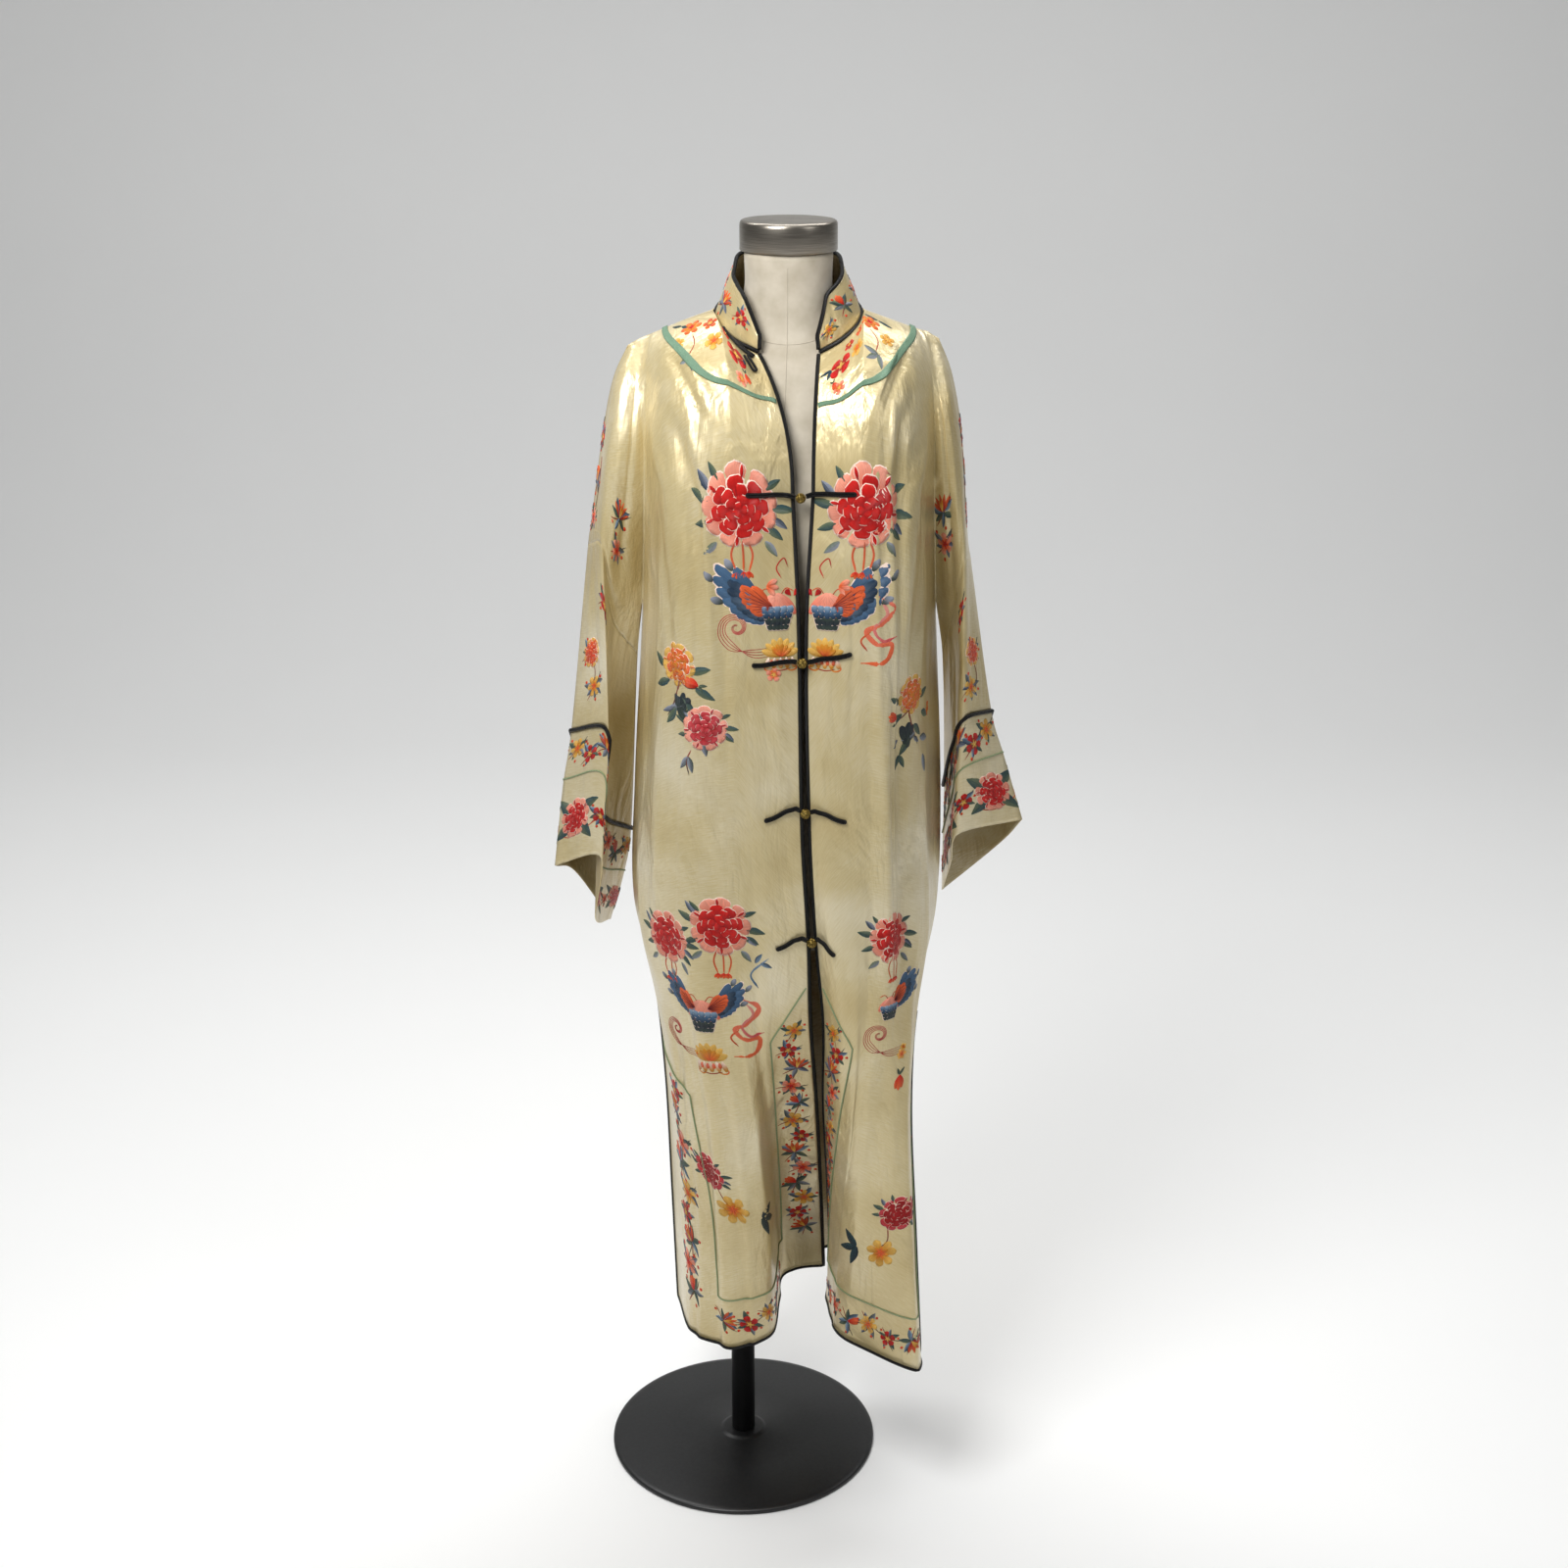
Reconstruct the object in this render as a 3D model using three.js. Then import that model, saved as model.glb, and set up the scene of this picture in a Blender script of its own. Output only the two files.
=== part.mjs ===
// An embroidered silk robe with a stand collar, frog closings and side slits, on a padded dress form.
// Millimetres, +Z up, +X to the viewer's right, the robe's front towards -Y. The origin is the centre
// of the stand's underside, on the floor below the form.
import * as THREE from "three";

// ---- driving sizes ----
const clothWall = 1.6; // silk, interlining and lining together
const seamGap = 0.6; // between two cloth walls at a seam
const touchGap = 0.3; // between a trim and what carries it
const pipeRadius = 2.3; // black silk piping
const frogRadius = 2.9; // frog bars
const ballRadius = 5.6; // brass filigree ball buttons
const ribbonWidth = 8.5; // yoke ribbon
const ribbonWall = 1;
const ribbonReach = 9; // how far round a point the ribbon must clear the cloth

const formX = 58; // the form stands off the pole's axis by this much
const poleRadius = 15;
const footRadius = 170;
const footHeight = 14;
const capTop = 1560;
const capRadius = 54;
const capHeight = 33;

const chestZ = 1283; // below this the robe hangs in upright sections
const underarmZ = 1130;
const slitTopZ = 640;
const hemZ = 205;
const edgeRise = 26; // how far the front edges are drawn up at the hem
const collarHeight = 48;
const collarEnd = 14; // height of the collar's upright front end
const collarCurve = 38; // length over which its top rises from that end to full height
const yokeRadius = 136; // the yoke ribbon's ring, measured over the flat cloth from the neck's centre
const yokeDip = 22; // how much deeper it hangs halfway between the shoulder and the front edge

// ---- colours ----
const silk = new THREE.MeshStandardMaterial({ color: 0xd8cca6, roughness: 0.35 });
const blackSilk = new THREE.MeshStandardMaterial({ color: 0x17171a, roughness: 0.6 });
const greenRibbon = new THREE.MeshStandardMaterial({ color: 0x86a58c, roughness: 0.5 });
const brass = new THREE.MeshStandardMaterial({ color: 0x9a8440, roughness: 0.4, metalness: 1 });
const linen = new THREE.MeshStandardMaterial({ color: 0xcfc8ba, roughness: 0.9 });
const steel = new THREE.MeshStandardMaterial({ color: 0x8d8880, roughness: 0.3, metalness: 1 });
const blackSteel = new THREE.MeshStandardMaterial({ color: 0x151515, roughness: 0.45, metalness: 0.6 });

// ---- sections of the body, from the chest down to the hem ----
// Left front, seen by the viewer. edge is the piped front edge, wall where the border turns forward,
// crest and front the panel's fullest part, outer the turn to the side, side the side seam or slit edge.
const leftFront = [
  { z: 1283, edge: [3, -124], wall: [-28, -133], crest: [-60, -138], front: [-94, -134], outer: [-130, -111], side: [-160, -55] },
  { z: 1130, edge: [10, -132], wall: [-24, -138], crest: [-58, -141], front: [-96, -136], outer: [-138, -112], side: [-168, 2] },
  { z: 900, edge: [14, -135], wall: [-22, -140], crest: [-60, -142], front: [-108, -136], outer: [-154, -110], side: [-183, 14] },
  { z: 756, edge: [22, -131], wall: [-20, -138], crest: [-58, -142], front: [-104, -138], outer: [-156, -104], side: [-187, 16] },
  { z: 648, edge: [25, -114], wall: [-23, -130], crest: [-54, -138], front: [-98, -134], outer: [-142, -100], side: [-164, 16] },
  { z: 520, edge: [33, -72], wall: [-17, -86], crest: [-40, -126], front: [-84, -126], outer: [-124, -98], side: [-152, 14] },
  { z: 360, edge: [40, -12], wall: [-9, -20], crest: [-27, -110], front: [-76, -116], outer: [-114, -90], side: [-146, 10] },
  { z: 205, edge: [45, 38], wall: [-4, 36], crest: [-22, -84], front: [-70, -110], outer: [-114, -88], side: [-141, 8] },
];
const rightFront = [
  { z: 1283, edge: [28, -124], wall: [54, -133], crest: [78, -139], front: [104, -134], outer: [134, -112], side: [162, -55] },
  { z: 1130, edge: [21, -132], wall: [52, -139], crest: [84, -143], front: [112, -138], outer: [138, -114], side: [170, 2] },
  { z: 900, edge: [25, -135], wall: [42, -145], crest: [92, -147], front: [118, -140], outer: [140, -112], side: [181, 6] },
  { z: 756, edge: [33, -131], wall: [52, -147], crest: [94, -147], front: [122, -138], outer: [152, -108], side: [178, -10] },
  { z: 648, edge: [42, -112], wall: [64, -140], crest: [90, -143], front: [118, -138], outer: [144, -114], side: [156, -40] },
  { z: 520, edge: [43, -68], wall: [61, -116], crest: [84, -132], front: [114, -138], outer: [140, -130], side: [149, -66] },
  { z: 360, edge: [50, 0], wall: [54, -60], crest: [70, -104], front: [108, -136], outer: [148, -148], side: [156, -92] },
  { z: 205, edge: [55, 42], wall: [51, -20], crest: [62, -78], front: [104, -122], outer: [158, -158], side: [164, -104] },
];
const backPanel = [
  { z: 1283, left: [-158, 52], leftBlade: [-100, 98], centre: [0, 92], rightBlade: [100, 98], right: [158, 52] },
  { z: 1130, left: [-168, 2], leftBlade: [-116, 94], centre: [0, 98], rightBlade: [116, 94], right: [170, 2] },
  { z: 900, left: [-183, 14], leftBlade: [-124, 118], centre: [0, 116], rightBlade: [122, 116], right: [181, 6] },
  { z: 756, left: [-187, 16], leftBlade: [-126, 128], centre: [0, 122], rightBlade: [126, 126], right: [178, -10] },
  { z: 640, left: [-162.2, 16.6], leftBlade: [-124, 130], centre: [0, 124], rightBlade: [124, 128], right: [155.6, -41.6] },
  { z: 520, left: [-151, 32], leftBlade: [-122, 134], centre: [0, 120], rightBlade: [124, 132], right: [150, -34] },
  { z: 205, left: [-141, 34], leftBlade: [-118, 140], centre: [0, 118], rightBlade: [124, 138], right: [152, -58] },
];

// ---- sections of a sleeve, as a loop: out from the body, depth, height ----
// inner is the underarm seam, valley and fold the pleat in front, outer the fold that continues the
// shoulder, back the fullness behind. The first three rows hang above the underarm.
const leftSleeve = [
  { row: 0, valley: [158, -3, 1434], fold: [169, -1.5, 1429], outer: [179, 0, 1423], back: [169, -1.5, 1429] },
  { row: 3, valley: [168, -42, 1380], fold: [185, -40, 1384], outer: [196, 0, 1386], back: [184, 44, 1384] },
  { row: 6, valley: [174, -62, 1293], fold: [197, -60, 1304], outer: [209, 0, 1326], back: [194, 62, 1300] },
  { row: 9, valley: [190, -24, 1146], fold: [208, -58, 1226], outer: [225, 0, 1222], back: [208, 64, 1190] },
  { row: 11, inner: [176, 14, 1062], valley: [200, -12, 1106], fold: [210, -56, 1210], outer: [229, 0, 1197], back: [216, 66, 1140] },
  { row: 17, inner: [192, 68, 824], valley: [222, -2, 872], fold: [210, -46, 990], outer: [255, 0, 973], back: [244, 76, 890] },
  { row: 20, inner: [204, 86, 756], valley: [228, 2, 800], fold: [216, -41, 926], outer: [267, 0, 904], back: [256, 74, 826] },
  { row: 23, inner: [223, 106, 688], valley: [233, 8, 730], fold: [223, -36, 828], outer: [280, 0, 802], back: [264, 62, 772] },
];
const rightSleeve = [
  { row: 0, valley: [154, -3, 1439], fold: [160, -1.5, 1435], outer: [167, 0, 1431], back: [160, -1.5, 1435] },
  { row: 3, valley: [164, -42, 1384], fold: [174, -36, 1388], outer: [183, 0, 1390], back: [174, 42, 1386] },
  { row: 6, valley: [174, -60, 1292], fold: [188, -50, 1306], outer: [196, 0, 1318], back: [186, 58, 1300] },
  { row: 9, valley: [184, -22, 1148], fold: [197, -52, 1214], outer: [205, 0, 1206], back: [198, 62, 1180] },
  { row: 11, inner: [180, 14, 1062], valley: [188, -14, 1112], fold: [199, -50, 1188], outer: [209, 0, 1180], back: [204, 66, 1130] },
  { row: 17, inner: [189, 62, 882], valley: [193, -6, 952], fold: [203, -43, 1001], outer: [238, 0, 997], back: [230, 74, 930] },
  { row: 20, inner: [190, 78, 808], valley: [194, 0, 882], fold: [201, -38, 930], outer: [255, 0, 940], back: [244, 76, 868] },
  { row: 23, inner: [191, 88, 735], valley: [195, 6, 806], fold: [199, -32, 853], outer: [279, 0, 861], back: [262, 66, 808] },
];

// ---- soft folds: from (across, down) to (across, down), half-width across, and how far out or in ----
// across runs 0 to 1 over a panel, down 0 to 1 from its top edge to the chest and on to 2 at the hem.
const foldsOf = {
  left: [
    { from: [0.93, 0.75], to: [0.5, 1.45], half: 0.09, out: 4 },
    { from: [0.8, 0.9], to: [0.72, 2], half: 0.08, out: -6 },
    { from: [0.62, 1.2], to: [0.6, 2], half: 0.07, out: 4 },
  ],
  right: [
    { from: [0.92, 0.8], to: [0.6, 1.3], half: 0.08, out: 5 },
    { from: [0.5, 1.1], to: [0.54, 1.62], half: 0.07, out: 5 },
    { from: [0.7, 1.05], to: [0.7, 1.65], half: 0.08, out: -9 },
    { from: [0.6, 1.55], to: [0.55, 2], half: 0.08, out: -4 },
  ],
  back: [
    { from: [0.1, 1.1], to: [0.1, 2], half: 0.05, out: 8 },
    { from: [0.22, 1.2], to: [0.22, 2], half: 0.055, out: -11 },
    { from: [0.35, 1.0], to: [0.34, 2], half: 0.055, out: 12 },
    { from: [0.5, 0.9], to: [0.49, 2], half: 0.06, out: -11 },
    { from: [0.64, 1.05], to: [0.65, 2], half: 0.055, out: 11 },
    { from: [0.77, 1.2], to: [0.78, 2], half: 0.055, out: -11 },
    { from: [0.89, 1.1], to: [0.9, 2], half: 0.05, out: 7 },
  ],
};

// ---- dress form sections: half-width and its height, front and back depth and their heights ----
const formSections = [
  { half: 49, sideZ: 1526.7, front: -50, frontZ: 1526.7, back: 51, backZ: 1526.7 },
  { half: 49, sideZ: 1486, front: -50.5, frontZ: 1476, back: 52, backZ: 1488 },
  { half: 58, sideZ: 1459, front: -57, frontZ: 1438, back: 56, backZ: 1462 },
  { half: 102, sideZ: 1438, front: -78, frontZ: 1400, back: 64, backZ: 1430 },
  { half: 144, sideZ: 1418, front: -98, frontZ: 1352, back: 72, backZ: 1388 },
  { half: 154, sideZ: 1392, front: -108, frontZ: 1306, back: 78, backZ: 1340 },
  { half: 150, sideZ: 1326, front: -114, frontZ: 1262, back: 80, backZ: 1284 },
  { half: 144, sideZ: 1230, front: -114, frontZ: 1206, back: 78, backZ: 1210 },
  { half: 120, sideZ: 1080, front: -92, frontZ: 1074, back: 72, backZ: 1074 },
  { half: 126, sideZ: 1000, front: -96, frontZ: 1000, back: 84, backZ: 1000 },
  { half: 148, sideZ: 880, front: -106, frontZ: 880, back: 98, backZ: 880 },
  { half: 144, sideZ: 790, front: -102, frontZ: 790, back: 96, backZ: 790 },
  { half: 128, sideZ: 728, front: -86, frontZ: 728, back: 82, backZ: 728 },
];

// ---- curves ----
const smooth = (t) => t * t * (3 - 2 * t);
const clamp01 = (t) => Math.min(1, Math.max(0, t));

// A table's named column at a place between its rows, by a cubic through them.
function readTable(rows, key, place, column) {
  const step = rows.length > 1 && rows[1][key] < rows[0][key] ? -1 : 1;
  let i = rows.findIndex((r) => step * (r[key] - place) > 0) - 1;
  if (i === -2) i = rows.length - 2;
  i = Math.max(0, i);
  const slope = (k) => {
    const a = rows[Math.max(0, k - 1)];
    const b = rows[Math.min(rows.length - 1, k + 1)];
    return a[column].map((v, n) => (b[column][n] - v) / (b[key] - a[key]));
  };
  const span = rows[i + 1][key] - rows[i][key];
  const t = clamp01((place - rows[i][key]) / span);
  const [m0, m1] = [slope(i), slope(i + 1)];
  return rows[i][column].map((v, n) => {
    const w = rows[i + 1][column][n];
    return (
      (2 * t ** 3 - 3 * t ** 2 + 1) * v + (t ** 3 - 2 * t ** 2 + t) * span * m0[n] +
      (3 * t ** 2 - 2 * t ** 3) * w + (t ** 3 - t ** 2) * span * m1[n]
    );
  });
}

const curveThrough = (points) =>
  new THREE.CatmullRomCurve3(points.map((p) => new THREE.Vector3(...p)), false, "centripetal");

// ---- the neckline and shoulder line, the top edges of the fronts and the back ----
const neckSide = [84, 0, 1462];
const neckFront = { left: [-33, -70, 1424], right: [34, -70, 1424] };
const neckBack = [0, 70, 1472];
const shoulderTip = { left: leftSleeve[0].outer, right: rightSleeve[0].outer };
const armholeTop = { left: [149, -3, 1438], right: [146, -3, 1441] };
const neckPart = 0.4; // share of a front's top edge that is neckline

const signOf = { left: -1, right: 1 };
const outward = (side, p) => [signOf[side] * p[0], p[1], p[2]];

function frontNeckline(side) {
  const s = signOf[side];
  const front = neckFront[side];
  return curveThrough([
    front,
    [s * 56, -56, 1434],
    [s * 76, -30, 1449],
    [s * neckSide[0], neckSide[1], neckSide[2]],
  ]);
}

function shoulderLine(side) {
  const s = signOf[side];
  return curveThrough([
    [s * neckSide[0], neckSide[1], neckSide[2]],
    [s * 116, -2, 1451],
    outward(side, armholeTop[side]),
  ]);
}

const backNeckline = curveThrough([
  [-neckSide[0], neckSide[1], neckSide[2]],
  [-66, 46, 1469],
  neckBack,
  [66, 46, 1469],
  neckSide,
]);

const lines = {
  left: { neck: frontNeckline("left"), shoulder: shoulderLine("left") },
  right: { neck: frontNeckline("right"), shoulder: shoulderLine("right") },
};

function frontTop(side, across) {
  if (across < neckPart) return lines[side].neck.getPointAt(across / neckPart);
  return lines[side].shoulder.getPointAt((across - neckPart) / (1 - neckPart));
}

// The back's top edge runs left armhole, left shoulder, neck, right shoulder, right armhole.
const backShoulderPart = 0.25;
function backTop(across) {
  if (across < backShoulderPart) return lines.left.shoulder.getPointAt(1 - across / backShoulderPart);
  if (across > 1 - backShoulderPart)
    return lines.right.shoulder.getPointAt(1 - (1 - across) / backShoulderPart);
  return backNeckline.getPointAt((across - backShoulderPart) / (1 - 2 * backShoulderPart));
}

// ---- body sheets: (across, down) to a point on the cloth's outer face ----
function sectionPoint(rows, columns, z, across) {
  const stations = columns.map((name) => [...readTable(rows, "z", z, name), z]);
  return curveThrough(stations).getPoint(across);
}

function addFolds(point, folds, across, down, share = 1) {
  const out = new THREE.Vector3(point.x, point.y, 0).normalize();
  for (const fold of folds) {
    const t = (down - fold.from[1]) / (fold.to[1] - fold.from[1]);
    if (t <= 0 || t > 1.001) continue;
    const middle = fold.from[0] + (fold.to[0] - fold.from[0]) * t;
    const away = (across - middle) / fold.half;
    const end = fold.to[1] >= 2 ? 1 : smooth(clamp01((1 - t) / 0.3));
    point.addScaledVector(out, share * fold.out * smooth(clamp01(t / 0.35)) * end * Math.exp(-away * away));
  }
  return point;
}

const zAt = (down) => chestZ + (hemZ - chestZ) * (down - 1);

// Above the chest a column falls from the top edge to the chest section on a cubic, leaving the
// shoulder forwards and reaching the chest upright.
function fallFrom(top, chest, reach, drop) {
  const lead = new THREE.Vector3(chest.x - top.x, chest.y - top.y, 0);
  const first = top.clone().addScaledVector(lead, reach).add(new THREE.Vector3(0, 0, -drop));
  const second = chest.clone().add(new THREE.Vector3(0, 0, (top.z - chest.z) * 0.52));
  return new THREE.CubicBezierCurve3(top, first, second, chest);
}

const frontColumns = ["edge", "wall", "crest", "front", "outer", "side"];
const frontRows = { left: leftFront, right: rightFront };

function frontSheet(side) {
  const rows = frontRows[side];
  return (across, down) => {
    if (down < 1) {
      const chest = sectionPoint(rows, frontColumns, chestZ, across);
      const top = frontTop(side, across);
      const steep = clamp01(across / neckPart);
      const point = fallFrom(top, chest, 0.4 + 0.3 * steep, 22 * (1 - steep)).getPoint(down);
      return addFolds(point, foldsOf[side], across, down, 1 - smooth(clamp01((across - 0.9) / 0.1)));
    }
    const point = sectionPoint(rows, frontColumns, zAt(down), across);
    const hang = clamp01((down - 1.6) / 0.4) ** 3;
    point.z += edgeRise * hang * (1 - smooth(clamp01(across / 0.42)));
    return addFolds(point, foldsOf[side], across, down, 1 - smooth(clamp01((across - 0.9) / 0.1)));
  };
}

const backColumns = ["left", "leftBlade", "centre", "rightBlade", "right"];

// The back's section: from the underarm to the slits its ends are the fronts' side seams.
function backSection(z, across) {
  const stations = backColumns.map((name) => {
    const sewn = name in frontRows && z <= underarmZ + 1e-6 && z >= slitTopZ - 1e-6;
    return [...(sewn ? readTable(frontRows[name], "z", z, "side") : readTable(backPanel, "z", z, name)), z];
  });
  return curveThrough(stations).getPoint(across);
}

function backSheet(across, down) {
  const lean = down < 1 ? fallFrom(backTop(across), backSection(chestZ, across), 0.62, 4).getPoint(down) : null;
  const edge = smooth(clamp01(Math.min(across, 1 - across) / 0.1));
  const point = lean || backSection(zAt(down), across);
  return edge > 0 ? addFolds(point, foldsOf.back, across, down, edge) : point;
}

// ---- the grid's rows ----
const chestRows = 6;
const underarmRow = 9;
const slitRow = 16;
const hemRow = 24;
const downOfZ = (z) => 1 + (chestZ - z) / (chestZ - hemZ);

function downOf(row) {
  if (row <= chestRows) return row / chestRows;
  const spans = [[chestRows, chestZ], [underarmRow, underarmZ], [slitRow, slitTopZ], [hemRow, hemZ]];
  const i = row <= underarmRow ? 0 : row <= slitRow ? 1 : 2;
  const [[r0, z0], [r1, z1]] = [spans[i], spans[i + 1]];
  return downOfZ(z0 + ((z1 - z0) * (row - r0)) / (r1 - r0));
}

// ---- sleeves: the loop of one row, from the underarm over the front to the outer fold, or behind ----
const sleeveRows = { left: leftSleeve, right: rightSleeve };

function innerPoint(side, row, behind) {
  if (row >= underarmRow) {
    const under = frontSheet(side)(1, downOf(underarmRow));
    const below = [{ row: underarmRow, inner: [Math.abs(under.x), under.y, under.z] }].concat(
      sleeveRows[side].filter((r) => r.inner),
    );
    return new THREE.Vector3(...outward(side, readTable(below, "row", row, "inner")));
  }
  if (!behind) return frontSheet(side)(1, downOf(row));
  return backSheet(side === "left" ? 0 : 1, downOf(row));
}

function sleeveCurve(side, row, behind) {
  const stops = behind ? ["back", "outer"] : ["valley", "fold", "outer"];
  const at = stops.map((name) => outward(side, readTable(sleeveRows[side], "row", row, name)));
  return curveThrough([innerPoint(side, row, behind).toArray(), ...at]);
}

// ---- cloth: outer faces sewn into one surface, each face marked with its piece ----
function newCloth() {
  return { points: [], keys: new Map(), quads: [], normals: [] };
}

function clothPoint(cloth, p) {
  const key = p.toArray().map((v) => Math.round(v * 50)).join();
  if (!cloth.keys.has(key)) {
    cloth.keys.set(key, cloth.points.length);
    cloth.points.push(p.clone());
  }
  return cloth.keys.get(key);
}

// A grid of rows going down and columns going along; flipped puts its outside on the other side.
function addGrid(cloth, piece, grid, flipped) {
  const ids = grid.map((row) => row.map((p) => clothPoint(cloth, p)));
  for (let r = 0; r + 1 < ids.length; r += 1) {
    for (let c = 0; c + 1 < ids[r].length; c += 1) {
      const quad = [ids[r][c], ids[r][c + 1], ids[r + 1][c + 1], ids[r + 1][c]];
      if (new Set(quad).size < 3) continue;
      cloth.quads.push({ piece, corners: flipped ? quad.reverse() : quad });
    }
  }
}

// Outward normals of the whole surface, so that two walls meet square at a seam.
function setNormals(cloth) {
  cloth.normals = cloth.points.map(() => new THREE.Vector3());
  for (const { corners } of cloth.quads) {
    const [a, b, c, d] = corners.map((i) => cloth.points[i]);
    const n = new THREE.Vector3().subVectors(c, a).cross(new THREE.Vector3().subVectors(d, b));
    for (const i of corners) cloth.normals[i].add(n);
  }
  cloth.normals.forEach((n) => n.normalize());
}

const count = (from, to) => Array.from({ length: to - from + 1 }, (_, i) => from + i);
// Places along a curve, so many to each of the spans between its stations.
const steps = (spans) =>
  spans.flatMap((n, i) => count(0, n - 1).map((k) => (i + k / n) / spans.length)).concat(1);
const frontAcross = steps([3, 4, 3, 2, 2]);
// The sleeve's front fold is rounded off: its columns stand either side of the fold's own station.
const sleeveFront = [...steps([3]).map((t) => t / 3), 0.5, 0.61, 0.72, 0.86, 1];
const sleeveBack = steps([4, 4]);
// The back's shoulders are divided as the fronts' are, so that the seam's corners meet.
const shoulderShares = frontAcross.filter((a) => a > neckPart - 1e-6).map((a) => (a - neckPart) / (1 - neckPart));
const backAcross = [
  ...shoulderShares.map((t) => backShoulderPart * (1 - t)).reverse(),
  ...count(1, 9).map((k) => backShoulderPart + (1 - 2 * backShoulderPart) * (k / 10)),
  ...shoulderShares.map((t) => 1 - backShoulderPart * (1 - t)),
];
const spread = (curve, places) => places.map((t) => curve.getPoint(t));
const sleeveTopRow = underarmRow + 2;
const cuffRow = 17;
const cuffHemRow = 23;

const body = newCloth();

function addFront(side) {
  const flipped = side === "right";
  const sheet = frontSheet(side);
  const panel = count(0, hemRow).map((row) =>
    frontAcross.map((across) => sheet(across, downOf(row))),
  );
  addGrid(body, "front_" + side, panel, flipped);
  const upperSleeve = count(0, sleeveTopRow).map((row) => spread(sleeveCurve(side, row, false), sleeveFront));
  addGrid(body, "front_" + side, upperSleeve, flipped);
}

function addBack() {
  const panel = count(0, hemRow).map((row) =>
    backAcross.map((across) => backSheet(across, downOf(row))),
  );
  addGrid(body, "back", panel, false);
  for (const side of ["left", "right"]) {
    const upperSleeve = count(0, sleeveTopRow).map((row) => spread(sleeveCurve(side, row, true), sleeveBack));
    upperSleeve[0] = spread(sleeveCurve(side, 0, false), sleeveFront);
    addGrid(body, "back", upperSleeve, side === "left");
  }
}

function addSleeve(side) {
  for (const [piece, from, to] of [["sleeve_" + side, sleeveTopRow, cuffRow], ["cuff_" + side, cuffRow, cuffHemRow]]) {
    const rows = count(from, to);
    addGrid(body, piece, rows.map((row) => spread(sleeveCurve(side, row, false), sleeveFront)), side === "right");
    addGrid(body, piece, rows.map((row) => spread(sleeveCurve(side, row, true), sleeveBack)), side === "left");
  }
}

addFront("left");
addFront("right");
addBack();
addSleeve("left");
addSleeve("right");

setNormals(body);

// The step that moves a corner by one from both of its edges, given each edge's own direction.
function mitre([first, second = first]) {
  return first.clone().add(second).divideScalar(Math.max(0.7, 1 + first.dot(second)));
}

// The way in from each corner of an open edge, long enough to leave that edge by one: along the
// grid's own lines, or towards the middle of the only quad at a panel's corner.
function rimSteps(cloth, quads, edges, rim) {
  const onRim = new Map();
  const inner = new Map();
  const note = (map, i, j) => {
    if (!map.has(i)) map.set(i, []);
    map.get(i).push(cloth.points[j].clone().sub(cloth.points[i]).normalize());
  };
  for (const [a, b] of rim) {
    note(onRim, a, b);
    note(onRim, b, a);
  }
  for (const [a, b] of edges.values()) if (onRim.has(a) && edges.has(b + "_" + a)) note(inner, a, b);
  const ways = (i) =>
    inner.get(i) || quads.find((quad) => quad.includes(i)).map((j) => cloth.points[j].clone().sub(cloth.points[i]));
  const inwards = new Map();
  for (const [i, alongs] of onRim) {
    const way = ways(i).reduce((sum, w) => sum.add(w), new THREE.Vector3()).normalize();
    const leave = Math.min(...alongs.map((along) => along.clone().cross(way).length()));
    // At the head of a side slit, where three lines lead in, the corner is cut back further.
    const slitHead = ways(i).length === 3;
    inwards.set(i, way.multiplyScalar(slitHead ? 2.5 : 1 / Math.max(0.22, leave)));
  }
  return inwards;
}

// A quad as two triangles, cut along the diagonal whose faces agree best with the surface's normals.
function splitQuad(cloth, [a, b, c, d]) {
  const ways = [[[a, b, c], [a, c, d]], [[a, b, d], [b, c, d]]];
  const agreement = (triangles) =>
    triangles.reduce((sum, [i, j, k]) => {
      const [p, q, r] = [i, j, k].map((id) => cloth.points[id]);
      const face = q.clone().sub(p).cross(r.clone().sub(p)).normalize();
      return sum + [i, j, k].reduce((total, id) => total + face.dot(cloth.normals[id]), 0);
    }, 0);
  return agreement(ways[0]) >= agreement(ways[1]) ? ways[0] : ways[1];
}

// ---- walls: a piece's outer face, the same face moved in, and a rim round every open edge ----
function wallOf(cloth, piece, wall = clothWall) {
  const { normals } = cloth;
  const quads = cloth.quads.filter((q) => q.piece === piece).map((q) => q.corners);
  const edges = new Map();
  for (const quad of quads) {
    quad.forEach((a, i) => {
      const b = quad[(i + 1) % 4];
      if (a !== b) edges.set(a + "_" + b, [a, b]);
    });
  }
  const rim = [...edges.values()].filter(([a, b]) => !edges.has(b + "_" + a));
  const inwards = rimSteps(cloth, quads, edges, rim);
  const used = [...new Set(quads.flat())];
  const place = new Map(used.map((id, i) => [id, i]));
  const outer = used.map((id) => {
    const p = cloth.points[id].clone();
    if (inwards.has(id)) p.addScaledVector(inwards.get(id), seamGap / 2);
    return p;
  });
  const inner = used.map((id, i) => outer[i].clone().addScaledVector(normals[id], -wall));
  const n = used.length;
  const faces = [];
  for (const quad of quads) {
    for (const [a, b, c] of splitQuad(cloth, quad)) {
      if (a === b || b === c || c === a) continue;
      const [i, j, k] = [place.get(a), place.get(b), place.get(c)];
      faces.push(i, j, k, n + k, n + j, n + i);
    }
  }
  // Both pieces at a seam cut their twisted rims the same way.
  for (const [idA, idB] of rim) {
    const [a, b] = [place.get(idA), place.get(idB)];
    if (idA < idB) faces.push(b, a, n + a, b, n + a, n + b);
    else faces.push(b, a, n + b, a, n + a, n + b);
  }
  return meshGeometry([...outer, ...inner], faces);
}

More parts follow.
